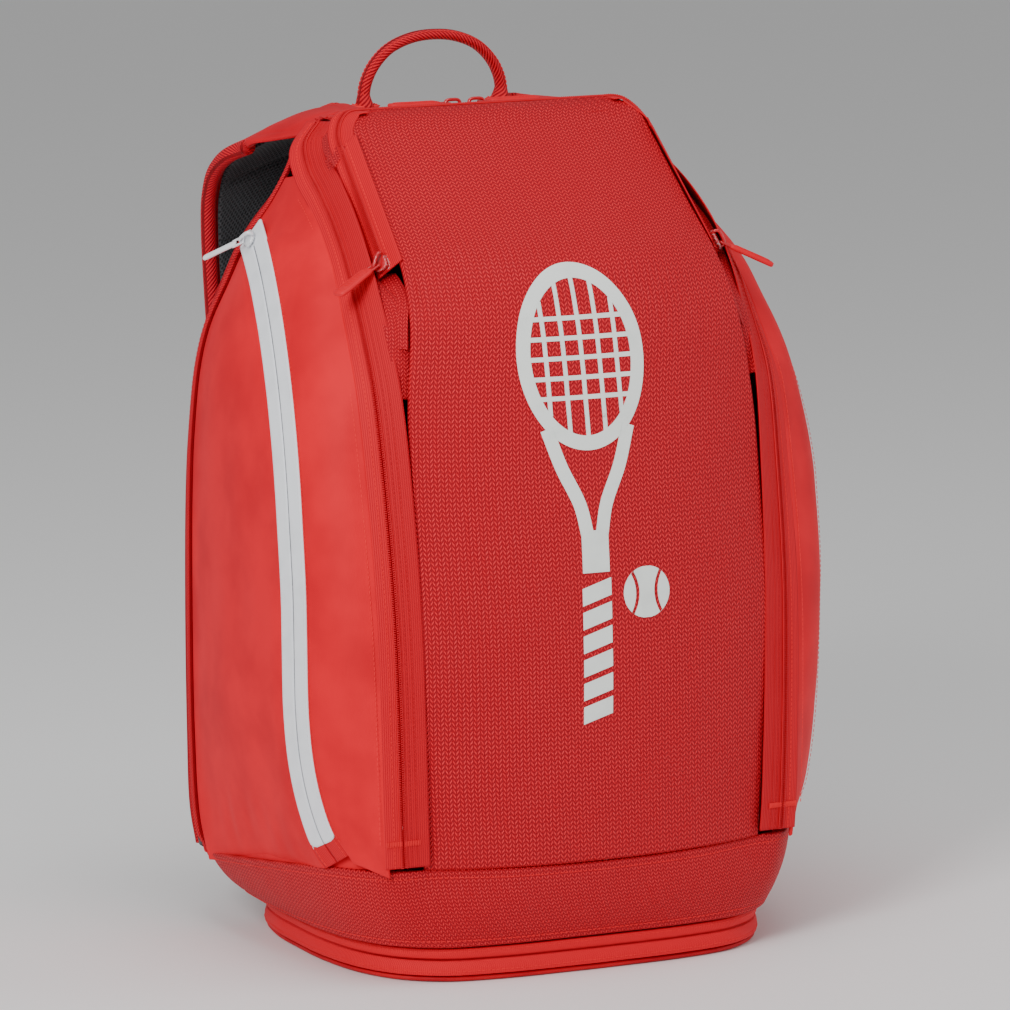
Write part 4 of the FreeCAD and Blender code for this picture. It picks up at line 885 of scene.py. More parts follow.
# white side zips: arc, then the run down to the base seam
WA, WM, WE = A3(-143, 84, 431), A3(-165, -2, 369), A3(-174, -42, 281)
ab, ac = WM - WA, WE - WA
n_ = unit(np.cross(ab, ac)); u_ = unit(ab); w_ = np.cross(n_, u_)
bx, cx, cy = ab @ u_, ac @ u_, ac @ w_
W_CEN = WA + u_ * bx / 2 + w_ * ((cx - bx / 2) ** 2 + cy ** 2 - (bx / 2) ** 2) / (2 * cy)
W_N = n_ if n_[0] < 0 else -n_
W_R = np.linalg.norm(WA - W_CEN)
W_U = unit(WA - W_CEN)
W_W = np.cross(W_N, W_U)
W_ANG = math.atan2((WE - W_CEN) @ W_W, (WE - W_CEN) @ W_U)
w_arc = lambda a: W_CEN + W_U * W_R * math.cos(a) + W_W * W_R * math.sin(a)
arcp = np.array([w_arc(W_ANG * i / 80) for i in range(81)]) * A3(-1, 1, 1)
W_PATH = resample(np.concatenate([arcp, smooth([tuple(arcp[-1])] + W_LOW[1:], 90)[1:]]), 320)     # +x, from the top down
W_WHITE_END = 83.0                                    # the laminate stops here, a red placket goes on


W_TILT = math.radians(32.0)


def white_normals(P):
    """Tape normals of the left white zip (P with x < 0); the tape leans forward out of its arc's plane."""
    r = P - W_CEN
    r = unit(r - (r @ W_N)[:, None] * W_N)
    e = w_arc(W_ANG)
    re = unit(unit(e - W_CEN))
    r = np.where(P[:, 2:3] > e[2], r, re)
    return unit(W_N * math.cos(W_TILT) + r * math.sin(W_TILT))


def wpath(s):
    P = mirror_x(W_PATH, s)
    N = white_normals(W_PATH * A3(-1, 1, 1)) * A3(-s, 1, 1)
    T = unit(np.gradient(P, axis=0))
    N = unit(N - T * np.einsum("ij,ij->i", N, T)[:, None])
    T, L, M = frame_of(P, N)
    k = 1 if L[160][1] < 0 else -1                     # +k is forward
    return P, N, T, L, M, k


def white_half(s, side, g):
    """One half of a laminated zip: white band with rounded lower corner, slit lip, stitch line, red run-out below."""
    P, N, T, L, M, k = wpath(s)
    kk = k * side
    up = P[:, 2] > W_WHITE_END
    Pw = P[up]
    Nw = N[up]
    parts = []
    cols = np.array([g, .9, 1.3, 2.6, 6.0, 9.6, 10.9, 11.3, 11.5])
    hgt = np.array([.25, .62, .72, .62, .55, .55, .45, .2, -.35])
    m = len(Pw)
    dist = np.linalg.norm(Pw - Pw[-1], axis=1)
    wmax = np.where(dist < 5, 11.5 - 5 + np.sqrt(np.maximum(0, 25 - (5 - np.minimum(dist, 5)) ** 2)), 11.5)
    a = np.minimum(cols[None, :], wmax[:, None]) * kk
    Lw, Mw = L[up], M[up]
    top = Pw[:, None] + Lw[:, None] * a[..., None] + Mw[:, None] * hgt[None, :, None]
    top = top + Mw[:, None] * (noise(top, 30, 3) * .12)[..., None]
    low = Pw[:, None] + Lw[:, None] * a[..., None] - Mw[:, None] * .8
    n = top.shape[1]
    kx = m * n
    V = np.concatenate([top.reshape(-1, 3), low.reshape(-1, 3)])
    fl = np.dot(np.cross(top[1, 3] - top[0, 3], top[0, 4] - top[0, 3]), Mw[0]) > 0
    F = grid_faces(m, n, 0, fl) + grid_faces(m, n, kx, not fl)
    ring = [j for j in range(n)] + [i * n + n - 1 for i in range(1, m)] + [(m - 1) * n + j for j in range(n - 2, -1, -1)] + [i * n for i in range(m - 2, 0, -1)]
    for p, q in zip(ring, ring[1:] + ring[:1]):
        F.append([p, q, q + kx, p + kx] if fl else [q, p, p + kx, q + kx])
    s_ = arc(top, 0)[:, :1]
    uv = np.stack([np.broadcast_to(cols[None, :], (m, n)), np.broadcast_to(s_, (m, n))], 2).reshape(-1, 2)
    parts.append(mesh_obj("w", V, F, M_WHITE, np.concatenate([uv, uv])))
    parts.append(tape_stitch(Pw, Nw, kk * 9.8, M_THREAD_W, lift=.62))
    # inner lip in grey, down in the slit
    parts.append(tape("t", Pw, Nw, *sorted((kk * g, kk * 1.0)), M_SLIT, h0=-.5, h1=.2, cols=3, wavy=0))
    # red placket run
    dn = P[:, 2] <= W_WHITE_END + 3
    Pd, Nd = P[dn], N[dn]
    parts.append(tape("t", Pd, Nd, *sorted((kk * g, kk * 11.2)), M_TAPE, h1=-.05))
    parts.append(tape_stitch(Pd, Nd, kk * 9.2, M_THREAD, lift=.1))
    return parts


for s, nm in ((-1, "left"), (1, "right")):
    keep(join("side_zip_front_half_" + nm, white_half(s, 1, .35)), "pack_body", "zip_tape_white", "side_zip_tape_front_" + nm)
    keep(join("side_zip_rear_half_" + nm, white_half(s, -1, .35)), "side_pocket_" + nm, "zip_tape_white", "side_zip_tape_rear_" + nm)

# ------------------------------------------------------------------ side cloth
def clip_z(P, z0, z1):
    P = np.asarray(P, float)
    if P[0, 2] > P[-1, 2]:
        P = P[::-1]
    keep_ = (P[:, 2] > z0) & (P[:, 2] < z1)
    def cut(z):
        for a, b in zip(P, P[1:]):
            if (a[2] - z) * (b[2] - z) <= 0 and a[2] != b[2]:
                return a + (b - a) * ((z - a[2]) / (b[2] - a[2]))
    out = list(P[keep_])
    lo, hi = cut(z0), cut(z1)
    return np.array(([lo] if lo is not None else []) + out + ([hi] if hi is not None else []))


def longer(G, down):
    """Adds rows below the first one, carried on along the cloth."""
    d = G[0] - G[3]
    d = d / np.linalg.norm(d, axis=-1, keepdims=True)
    add = [G[0] + d * down * k for k in (1.0, .66, .33)]
    return np.concatenate([np.stack(add), G])


def loft(a, b, cols, bulge, ref, e=4.0):
    u = np.linspace(0, 1, cols)[None, :, None]
    G = a[:, None] * (1 - u) + b[:, None] * u
    N = normals(G, ref)
    v = np.linspace(0, 1, len(a))
    k = bulge * np.sin(np.pi * u[0, :, 0])[None, :] * np.minimum(1, np.minimum(e * v, e * (1 - v)))[:, None]
    return G + N * k[..., None]


for s, nm in ((-1, "left"), (1, "right")):
    P, N = zpath(s, 300)
    T, L, M = frame_of(P, N)
    k = 1 if L[150][0] * s > 0 else -1
    za = P + L * (k * (W_TAPE - 1.6)) + M * .15
    Pw, Nw, Tw, Lw, Mw, kw = wpath(s)
    wf = Pw + Lw * (kw * (W_TAPE - .4)) + Mw * .25
    wr = Pw - Lw * (kw * (W_TAPE - .4)) + Mw * .25
    a = resample(clip_z(za, 73.5, 467), 200)
    top = np.array([(s * 136.0, 93.4, 433.5), (s * 126.0, 92.0, 447.5), (s * 117.0, 90.0, 463.5)])
    b = resample(smooth(np.concatenate([clip_z(wf, 73, 432)[::6], top]), 260), 200)
    G = longer(loft(a, b, 60, 5.4, (0, 100, 260)), 5.5)

    def side_wr(G, au, av, d, s=s):
        w = .9 * noise(G * A3(1, .8, .35), 42, 1) + .45 * noise(G * A3(1, 1, .5), 17, 2)
        low = np.exp(-((G[..., 2] - 82) / 16) ** 2) * 1.1 * noise(G * A3(1, 1.6, .2), 11, 3)      # gathers above the base seam
        hi = np.exp(-((G[..., 2] - 400) / 50) ** 2) * .7 * noise(G * A3(1, .5, 1), 19, 5)
        return w + low + hi

    ob, *_ = cushion("side_cloth_" + nm, G, 2.2, 1.3, M_SIDE, (0, 100, 260), 150, 40, side_wr)
    keep(ob, "pack_body", "polyester_red", "side_panel_" + nm)
    # pocket panel: one cloth from the rear half of the white zip back to the binding, in place of its CAD panel
    Bn = mirror_x(BS, s)
    bb = Bn + A3(0, -4.4, 0)
    a = resample(clip_z(wr, 72.5, 417.5), 200)
    b = resample(clip_z(bb, 48.5, 421), 200)
    G = longer(loft(a, b, 70, 5.6, (0, 30, 230)), 6.0)

    def pocket_wr(G, au, av, d, s=s):
        w = 1.5 * noise(G * A3(1, .75, .42), 60, 0) + .7 * noise(G * A3(1, .9, .5), 24, 4)
        diag = .8 * noise(np.stack([G[..., 0], G[..., 1] + .6 * G[..., 2], .25 * G[..., 2]], 2), 26, 2) * np.exp(-((G[..., 2] - 350) / 60) ** 2)
        low = np.exp(-((G[..., 2] - 78) / 18) ** 2) * 1.3 * noise(G * A3(1, 1.4, .2), 14, 1)
        return w + diag + low

    ob, *_ = cushion("pocket_cloth_" + nm, G, 2.2, 1.3, M_SIDE, (0, 30, 230), 150, 60, pocket_wr)
    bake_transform(ob)
    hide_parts("pocket_panel_" + nm)
    # topstitching beside the zips
    zs_ = P + L * (k * (W_TAPE + 2.6))
    st = []
    seam = clip_z(np.concatenate([zs_, M], 1), 90, 455)
    Cc, Tt, Nn = along(seam[:, :3], seam[:, 3:], 3.0)
    st.append(capsules("st", Cc + Nn * .55, Tt, Nn, 2.2, .55, .5, M_THREAD))
    sf = np.concatenate([Pw + Lw * (kw * (W_TAPE + 1.8)) + Mw * .35, Mw], 1)
    seam = clip_z(sf, 88, 424)
    Cc, Tt, Nn = along(seam[:, :3], seam[:, 3:], 3.0)
    st.append(capsules("st", Cc + Nn * .3, Tt, Nn, 2.2, .5, .45, M_THREAD))
    keep(join("stitch_side_" + nm, st), "pack_body", "polyester_red")

# ------------------------------------------------------------------ binding along the rear edge of the sides
for s, nm in ((-1, "left"), (1, "right")):
    Pb = mirror_x(BS, s)
    up = np.maximum(0, (Pb[:, 2] - 360) / 120)
    Nb = unit(np.stack([s * (.85 - .35 * up), np.full(len(Pb), .45), .9 * up], 1))
    end = np.clip((58 - Pb[:, 2]) / 12, 0, 1)
    Pb = Pb - Nb * (3.6 * end)[:, None]
    ob = tube("binding_" + nm, Pb - Nb * .4, 3.3 - 1.7 * end, M_BIND, Nb, ratio=.62, seg=14)
    Cc, Tt, Nn = along(Pb + Nb * 1.75, Nb, 3.0)
    st = capsules("st", Cc, Tt, Nn, 2.1, .5, .45, M_THREAD_D)
    keep(join("side_binding_cord_" + nm, [ob, st]), "pack_body", "binding_red", "side_binding_" + nm)

# ------------------------------------------------------------------ yoke: from the binding over to the back panel
def b_edge(off):
    c = BS
    t = unit(np.gradient(c, axis=0))
    up = np.maximum(0, (c[:, 2] - 360) / 120)
    n = unit(np.stack([.85 - .35 * up, np.full(len(c), .45), .9 * up], 1))
    lat = unit(np.cross(n, t))
    lat = np.where(lat[:, 1:2] < 0, -lat, lat)
    e = c + lat * off
    return e * A3(-1, 1, 1)


be = b_edge(2.4)
arch = np.concatenate([be[::5], [A3(-99, 98.8, 487.5), A3(-86, 98.6, 494), A3(-60, 98.6, 497), A3(0, 98.6, 498)]])
arch = np.concatenate([arch, (arch * A3(-1, 1, 1))[-2::-1]])
aa = np.array([(-x, 118.6, z) for x, z in A_LINE])
aa = np.concatenate([aa, (aa * A3(-1, 1, 1))[-2::-1]])
G = loft(smooth(arch, 300), smooth(aa, 300), 24, 1.2, (0, 100, 250), e=30)
ob, *_ = cushion("yoke_cloth", G, 2.4, 1.2, M_YOKE, (0, 100, 250), 230, 14, lambda G, au, av, d: .7 * noise(G * A3(1, .5, 1), 22, 2))
keep(ob, "pack_body", "polyester_red", "top_yoke")
xt = np.linspace(-93, 93, 80)
Pb = np.stack([xt, np.full_like(xt, 97.6), 498.0 - .012 * np.maximum(0, np.abs(xt) - 60) ** 1.5], 1)
Nb = np.tile(A3(0, 0, 1), (80, 1))
ob = tube("tb", Pb, 2.0, M_BIND, Nb, ratio=.6, seg=12)
Cc, Tt, Nn = along(Pb + Nb * 1.15, Nb, 3.0)
keep(join("top_binding_cord", [ob, capsules("st", Cc, Tt, Nn, 2.1, .5, .45, M_THREAD_D)]), "pack_body", "binding_red", "top_binding")

# gusset strip across the top, between the flap zip and the long zip
x = np.linspace(-94, 94, 80)[:, None]
y = np.linspace(62.0, 73.0, 12)[None, :]
G = np.stack([x + 0 * y, y + 0 * x, 503.6 - .30 * (y - 62) + 0 * x - .0022 * np.maximum(0, np.abs(x) - 78) ** 2], 2)
ob, *_ = cushion("gusset_cloth_top", G, 1.6, .6, M_JAC2, (0, 66, 400), 60, 10, lambda G, au, av, d: .25 * noise(G, 16, 2))
keep(ob, "front_pod", "jacquard_red", "front_gusset_top")

# ------------------------------------------------------------------ grab handle
path = smooth([(-46, 498.2), (-46.5, 505), (-44.8, 513.5), (-39.5, 523.5), (-29.5, 533), (-15, 538.9), (0, 540.5), (15, 538.9), (29.5, 533), (39.5, 523.5), (44.8, 513.5), (46.5, 505), (46, 498.2)], 150)
Ph = np.stack([path[:, 0], np.full(150, 130.0), path[:, 1]], 1)
Th = unit(np.gradient(Ph, axis=0))
Nh = unit(np.cross(A3(0, 1, 0), Th))
Nh = np.where(Nh[:, 2:3] < -.2, -Nh, Nh)
low = np.clip((506 - Ph[:, 2]) / 8, 0, 1)
parts = [tube("h", Ph, 3.35 + 2.0 * low, M_BIND_S, np.tile(A3(0, 1, 0), (150, 1)), ratio=1.55, seg=18)]
for sy in (-1, 1):
    line = Ph + A3(0, sy * 4.2, 0) + unit(np.cross(A3(0, 1, 0), Th)) * 0
    outw = np.array([unit(A3(p[0], 0, p[2] - 503)) for p in Ph])
    Cc, Tt, Nn = along(line + outw * 2.35, outw, 2.9, 6, 6)
    parts.append(capsules("st", Cc, Tt, Nn, 2.1, .55, .5, M_THREAD))
for s in (-1, 1):                                        # feet stitched down
    Cc = [A3(s * 46, 130, 499.0) + A3(s * d, e, 0) for d in (-6.5, -4.5, 4.5, 6.5) for e in (-3, 0, 3)]
    base = capsules("foot", [A3(s * 46, 130, 498.4)], [A3(1, 0, 0)], [A3(0, 0, 1)], 19, 15, 2.6, M_WEB)
    parts.append(base)
    parts.append(capsules("st", [c + A3(0, 0, .7) for c in Cc], [A3(0, 1, 0)] * len(Cc), [A3(0, 0, 1)] * len(Cc), 2.2, .6, .6, M_THREAD))
keep(join("handle_loop", parts), "grab_handle", "webbing_red", "grab_handle")

# ------------------------------------------------------------------ shoulder straps
def flat_rows(rows, n):
    f = smooth([tuple(a) + tuple(b) for a, b in rows], n)
    return f[:, :3] * A3(-1, 1, 1), f[:, 3:] * A3(-1, 1, 1)


def strap_surface(rows, n, cols, s, crown, ext=0.0):
    a, b = flat_rows(rows, n)
    a, b = mirror_x(a, s), mirror_x(b, s)
    w = unit(b - a)
    a, b = a - w * ext, b + w * ext
    u = np.linspace(0, 1, cols)[None, :, None]
    G = a[:, None] * (1 - u) + b[:, None] * u
    mid = G[:, cols // 2]
    ref = np.stack([mid[:, 0], np.full(n, 130.0), np.full(n, 380.0)], 1)
    N = normals(G)
    sg = np.sign(np.sum(np.einsum("ijk,ijk->ij", N, G - ref[:, None])))
    N = N * sg
    cr = crown if np.ndim(crown) else np.full(n, crown)
    return G + N * (cr[:, None] * np.sin(np.pi * u[0, :, 0])[None, :])[..., None], N


ALL_ROWS = WING + ROWS
for s, nm in ((-1, "left"), (1, "right")):
    n = 220
    base, _ = strap_surface(ALL_ROWS, n, 3, s, 0.0)
    sy = base[:, 1, 1]
    idx = int(np.argmax(sy > 136))
    crown = 4.6 - 2.6 * smin(np.arange(n), idx * .6, idx * 1.6)
    G, N = strap_surface(ALL_ROWS, n, 50, s, crown)
    cut = int(np.argmax(sy > 139.0))

    def strap_wr(G, au, av, d):
        w = .8 * noise(G * A3(1, .6, .6), 34, 0) + .35 * noise(G, 13, 3)
        return w - .7 * np.exp(-((d - 8.5) / 1.6) ** 2)

    pad = smin(np.linspace(0, 1, n) * 1.0, cut / n * .8, cut / n * 1.25)          # thin wing, then full padding

    def thick(G, au, av):
        return 2.0 + 3.8 * np.interp(au / au[-1:], np.linspace(0, 1, n), pad)

    ob, O, NN, au, av = cushion("strap_shell_" + nm, G, 2.2, 1.8, M_YOKE, tuple(A3(s * 92, 132, 380)), 170, 34, strap_wr, tfun=thick)
    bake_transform(ob)
    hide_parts("strap_wing_" + nm, "strap_pad_" + nm)

    # ribbed binding around the pad, in one run down one edge, round the foot and up the other
    Gp = G[cut:]
    Np = normals(Gp)
    if np.sum(np.einsum("ijk,ijk->ij", Np, N[cut:])) < 0:
        Np = -Np
    edge = np.concatenate([Gp[:, 0], Gp[-1, 1:-1], Gp[::-1, -1]])
    en = np.concatenate([Np[:, 0], Np[-1, 1:-1], Np[::-1, -1]])
    edge = resample(np.concatenate([edge - en * 4.6, en], 1), 420)
    for _ in range(6):
        edge[1:-1] = edge[1:-1] * .5 + (edge[:-2] + edge[2:]) * .25
    en = unit(edge[:, 3:])
    tb = tube("b", edge[:, :3], 4.9, M_BIND_S, en, ratio=1.0, seg=14)
    tt = unit(np.gradient(edge[:, :3], axis=0))
    outw = unit(np.cross(tt, en))
    c0 = Gp[len(Gp) // 2, 25]
    if np.sum((edge[:, :3] - c0) * outw) < 0:
        outw = -outw
    Cc, Tt, Nn = along(edge[:, :3] + en * 4.55 - outw * 1.9, en, 3.0)
    st = capsules("st", Cc, Tt, Nn, 2.2, .6, .5, M_THREAD)
    keep(join("strap_binding_" + nm, [tb, st]), "strap_" + nm, "binding_red")

    # inner lining in quilted mesh, puffed between stitch lines
    L = 8.6
    Gi = Gp[6:-6, 4:-4] - Np[6:-6, 4:-4] * L
    vv = arc(Gi, 0)
    rows_ = [Gi, vv]

    def quilt(G, au, av, d):
        ph = au / 46.0
        groove = np.exp(-((ph - np.round(ph)) * 46 / 2.6) ** 2)
        return .5 * noise(G, 18, 2) - 1.6 * groove

    ob, O2, N2, au2, av2 = cushion("lining_" + nm, Gi, 2.0, 1.4, M_MESH, tuple(Gi[len(Gi) // 2, 20] + Np[len(Gi) // 2, 20] * 60), 150, 30, quilt)
    stl = []
    for k in range(1, int(au2.max() / 46) + 1):
        r = int(np.argmin(np.abs(au2[:, 15] - k * 46)))
        Cc, Tt, Nn = along(O2[r, 3:-3] + N2[r, 3:-3] * .15, N2[r, 3:-3], 3.2)
        stl.append(capsules("st", Cc, Tt, Nn, 2.3, .6, .5, M_THREAD_K))
    if stl:
        ob = join("strap_lining_cloth_" + nm, [ob] + stl)
    keep(ob, "strap_" + nm, "mesh_black", "strap_lining_" + nm)

    # webbing, ladder lock and the anchor on the bag
    P1, P2 = A3(s * 117, 150.6, 212), A3(s * 138, 137.6, 80)
    U0 = A3(s * 112.3, 147.6, 240)
    d1 = unit(P1 + A3(0, -1.5, 0) - U0)
    n1 = unit(A3(0, 1, 0) - d1 * d1[1])
    d2 = unit(P2 - P1)
    n2 = unit(A3(0, 1, 0) - d2 * d2[1])
    l2 = unit(np.cross(n2, d2))
    L2 = np.linalg.norm(P2 - P1)
    L1 = np.linalg.norm(P1 + A3(0, -1.5, 0) - U0)

    def web(path, nrm, w=12.5, t=.85):
        path = np.asarray(path, float)
        T = unit(np.gradient(path, axis=0))
        nrm = np.tile(nrm, (len(path), 1)) if np.ndim(nrm) == 1 else nrm
        B = unit(np.cross(nrm, T))
        M = np.cross(T, B)
        a = np.array([-w, -w + .5, -w * .5, 0, w * .5, w - .5, w])
        h = np.array([.35, 1, 1, 1, 1, 1, .35]) * t
        top = path[:, None] + B[:, None] * a[None, :, None] + M[:, None] * h[None, :, None]
        low = path[:, None] + B[:, None] * a[None, ::-1, None] - M[:, None] * h[None, :, None]
        R = np.concatenate([top, low], 1)
        m, k = R.shape[:2]
        F = []
        for i in range(m - 1):
            for j in range(k):
                F.append([i * k + j, i * k + (j + 1) % k, (i + 1) * k + (j + 1) % k, (i + 1) * k + j])
        F += [list(range(k))[::-1], [(m - 1) * k + j for j in range(k)]]
        sv = arc(R, 0)[:, :1]
        au_ = np.concatenate([a, a[::-1]])
        uv = np.stack([np.broadcast_to(au_[None], (m, k)), np.broadcast_to(sv, (m, k))], 2).reshape(-1, 2)
        return mesh_obj("web", R.reshape(-1, 3), F, M_WEB, uv)

    w1 = web([U0 + d1 * t for t in np.linspace(0, L1 - 3, 12)], n1)
    tail = [P1 + n2 * 3.0 + d2 * t + n2 * .9 * math.sin(t * .12) * 0 for t in np.linspace(4, 40, 16)]
    hem = [P1 + n2 * 3.9 + d2 * t for t in np.linspace(36, 43.5, 5)]
    w2 = web([P1 + n2 * 3.6 + d2 * t for t in np.linspace(4, 43.5, 18)], n2)
    w3 = web([P1 - n2 * 3.6 + d2 * t for t in np.linspace(4, L2 - 2, 40)], n2)
    w4 = web([P1 + n2 * 5.0 + d2 * t for t in np.linspace(33, 43.0, 6)], n2, 12.4)
    bt = []
    for k in (-9, -6, -3, 0, 3, 6, 9):
        bt.append(P1 + n2 * 5.95 + d2 * 36 + l2 * k)
        bt.append(P1 + n2 * 5.95 + d2 * 40.5 + l2 * k)
    st = capsules("st", bt, np.tile(l2, (len(bt), 1)), np.tile(n2, (len(bt), 1)), 2.3, .6, .5, M_THREAD)
    keep(join("strap_webbing_cloth_" + nm, [w1, w2, w3, w4, st]), "strap_" + nm, "webbing_red", "strap_webbing_" + nm)

    # ladder lock: rounded bars over the frame
    bars = []
    for e in (-14.9, 14.9):
        bars.append(tube("bar", [P1 + l2 * e + d2 * t for t in np.linspace(-1.2, 23.2, 12)], 1.75, M_BUCKLE, np.tile(n2, (12, 1)), ratio=1.22, seg=14))
    for t, r in ((-.4, 1.7), (7.8, 1.75), (14.7, 1.6), (22.2, 1.8)):
        bars.append(tube("bar", [P1 + l2 * e + d2 * t for e in np.linspace(-14.9, 14.9, 12)], r, M_BUCKLE, np.tile(n2, (12, 1)), ratio=1.15, seg=14))
    for i in range(9):
        e = -11.2 + i * 2.8
        bars.append(capsules("rib", [P1 + l2 * e + d2 * 22.2 + n2 * 2.0], [d2], [n2], 2.8, .8, .7, M_BUCKLE))
    keep(join("ladder_lock_frame_" + nm, bars), "strap_" + nm, "buckle_red", "ladder_lock_" + nm)

    # anchor tab on the bag
    T4 = [(118, 52), (158, 60), (157, 76), (124, 84)]
    u = np.linspace(0, 1, 14)
    lo = A3(s * 118, 132.4, 52) + (A3(s * 158, 132.4, 60) - A3(s * 118, 132.4, 52)) * u[:, None]
    hi = A3(s * 124, 132.4, 84) + (A3(s * 157, 132.4, 76) - A3(s * 124, 132.4, 84)) * u[:, None]
    Gt = lo[None] + (hi - lo)[None] * np.linspace(0, 1, 12)[:, None, None]
    ob, *_ = cushion("tab_" + nm, Gt, 1.7, .6, M_YOKE, (0, 60, 70), 12, 14)
    ctr = Gt.mean((0, 1))
    loop = np.concatenate([Gt[0], Gt[:, -1], Gt[-1, ::-1], Gt[::-1, 0]])
    loop = ctr + (loop - ctr) * .84 + A3(0, .15, 0)
    Cc, Tt, Nn = along(loop, np.tile(A3(0, 1, 0), (len(loop), 1)), 3.0)
    keep(join("strap_tab_cloth_" + nm, [ob, capsules("st", Cc, Tt, Nn, 2.2, .55, .5, M_THREAD)]), "pack_body", "webbing_red", "strap_tab_" + nm)

# ------------------------------------------------------------------ back panel
ol = np.array([(-x, z) for x, z in A_LINE] + [(x, z) for x, z in A_LINE[-2::-1]], float)
outl = smooth([(x, 0, z) for x, z in ol], 400)[:, [0, 2]]
left = np.array([(-x, z) for x, z in smooth([(x, 0, z) for x, z in A_LINE], 300)[:, [0, 2]]])


def back_half(z):
    L = left[left[:, 1].argsort()]
    return -np.interp(z, L[:, 1], L[:, 0])


zb = np.concatenate([np.linspace(46.5, 470, 150), 470 + (494.6 - 470) * (1 - np.cos(np.linspace(0, math.pi / 2, 30)[1:])) ** 1.0])
tb_ = np.linspace(-1, 1, 130)
hb_ = back_half(zb) - .4
X = tb_[None, :] * hb_[:, None]
G = np.stack([X, np.full_like(X, 129.6), np.broadcast_to(zb[:, None], X.shape)], 2)


def back_relief(G, au, av, d):
    x, z = G[..., 0], G[..., 2]
    ch = -5.0 * np.exp(-(x / 13.0) ** 4)                              # centre channel
    lobes = 0
    for zc in (112, 196, 280, 364, 444):
        lobes = lobes - 3.6 * np.exp(-((z - zc - .0016 * x ** 2) / 8.5) ** 2) * (np.abs(x) > 6)
    side = -3.4 * np.exp(-((np.abs(x) - 128) / 6.0) ** 2) * smin(z, 70, 100) * (1 - smin(z, 350, 400))
    q = .35 * noise(G, 20, 1)
    return np.maximum(-6.0, ch + lobes + side) + q


ob, *_ = cushion("back_cloth", G, 11.2, 4.5, M_BACK, (0, 0, 260), 190, 150, back_relief)
keep(ob, "pack_body", "foam_back", "back_panel")
edge = np.concatenate([np.stack([-hb_, zb], 1), np.stack([hb_, zb], 1)[::-1]])
edge = resample(np.stack([edge[:, 0], np.full(len(edge), 128.2), edge[:, 1]], 1), 700)
ctr = A3(0, 128.2, 260)
edge = ctr + (edge - ctr) * .995
keep(tube("back_edge_cord", edge, 2.0, M_BIND, np.tile(A3(0, 1, 0), (700, 1)), ratio=1.0, seg=12), "pack_body", "binding_red")

# ------------------------------------------------------------------ base
def half_ring(pts, n, grow=0.0, z=None):
    """Left-to-right closed outline around the front and sides from the middle out."""
    p = smooth([tuple(q) for q in pts], n)
    left_ = p * np.array([-1] + [1] * (p.shape[1] - 1))
    full = np.concatenate([left_[::-1], p[1:]])
    if grow:
        t = unit(np.gradient(full[:, :2], axis=0))
        o = np.stack([t[:, 1], -t[:, 0]], 1)
        c = full[:, :2].mean(0)
        if np.sum(o * (full[:, :2] - c)) < 0:
            o = -o
        full[:, :2] += o * grow
    return full


def d3(pts, z):
    return [(x, y, z) for x, y in pts]


lo = half_ring(d3(D_BAND, 21.6), 200)
hi = half_ring([(x, y, z + .8) for x, y, z in U_BAND], 200)
lo, hi = resample(lo, 400), resample(hi, 400)
u = np.linspace(0, 1, 40)[:, None, None]
G = lo[None] * (1 - u) + hi[None] * u
N0 = normals(G, (0, 20, 60))
G = G + N0 * (3.4 * np.sin(np.pi * u) ** 1.0)


def band_wr(G, au, av, d):
    return .5 * noise(G * A3(.5, .5, 1), 24, 1) + .25 * noise(G, 12, 3) - .9 * np.exp(-((au - 5.0) / 1.5) ** 2) - .6 * np.exp(-((au[-1:] - au - 5.0) / 1.5) ** 2)


ob, O, NB, au, av = cushion("band", G, 2.8, 1.6, M_JAC2, (0, 20, 60), 30, 300, band_wr, sides=(1, 1, 0, 0))
r0 = int(np.argmin(np.abs(au[:, 150] - 5.0)))
r1 = int(np.argmin(np.abs(au[-1, 150] - au[:, 150] - 5.0)))
st = []
for r in (r0, r1):
    Cc, Tt, Nn = along(O[r] + NB[r] * .1, NB[r], 3.1)
    st.append(capsules("st", Cc, Tt, Nn, 2.3, .6, .5, M_THREAD))
keep(join("base_band_cloth", [ob] + st), "pack_body", "jacquard_red", "base_band")

# zipped ring: two smooth tapes, a fold over each, the coil line between
def ring_tape(name, z0, z1, grow0, grow1, mat, body, node, extra=None):
    a = resample(half_ring(d3(D_RING, z0), 160, grow0), 340)
    b = resample(half_ring(d3(D_RING, z1), 160, grow1), 340)
    u = np.linspace(0, 1, 14)[:, None, None]
    G = a[None] * (1 - u) + b[None] * u
    N = normals(G, (0, 10, 10))
    G = G + N * (.7 * np.sin(np.pi * u))
    ob, O, NB, au, av = cushion(name + "_t", G, 2.2, 1.0, mat, (0, 10, 10), 10, 260, lambda G, au, av, d: .12 * noise(G, 16, 2), sides=(1, 1, 0, 0))
    keep(join(name, [ob] + (extra(O, NB, au) if extra else [])), body, "zip_tape_red", node)


def ring_stitch(frac):
    def f(O, NB, au):
        r = int(np.argmin(np.abs(au[:, 100] / au[-1, 100] - frac)))
        Cc, Tt, Nn = along(O[r] + NB[r] * .12, NB[r], 3.0)
        return [capsules("st", Cc, Tt, Nn, 2.2, .5, .45, M_THREAD)]
    return f


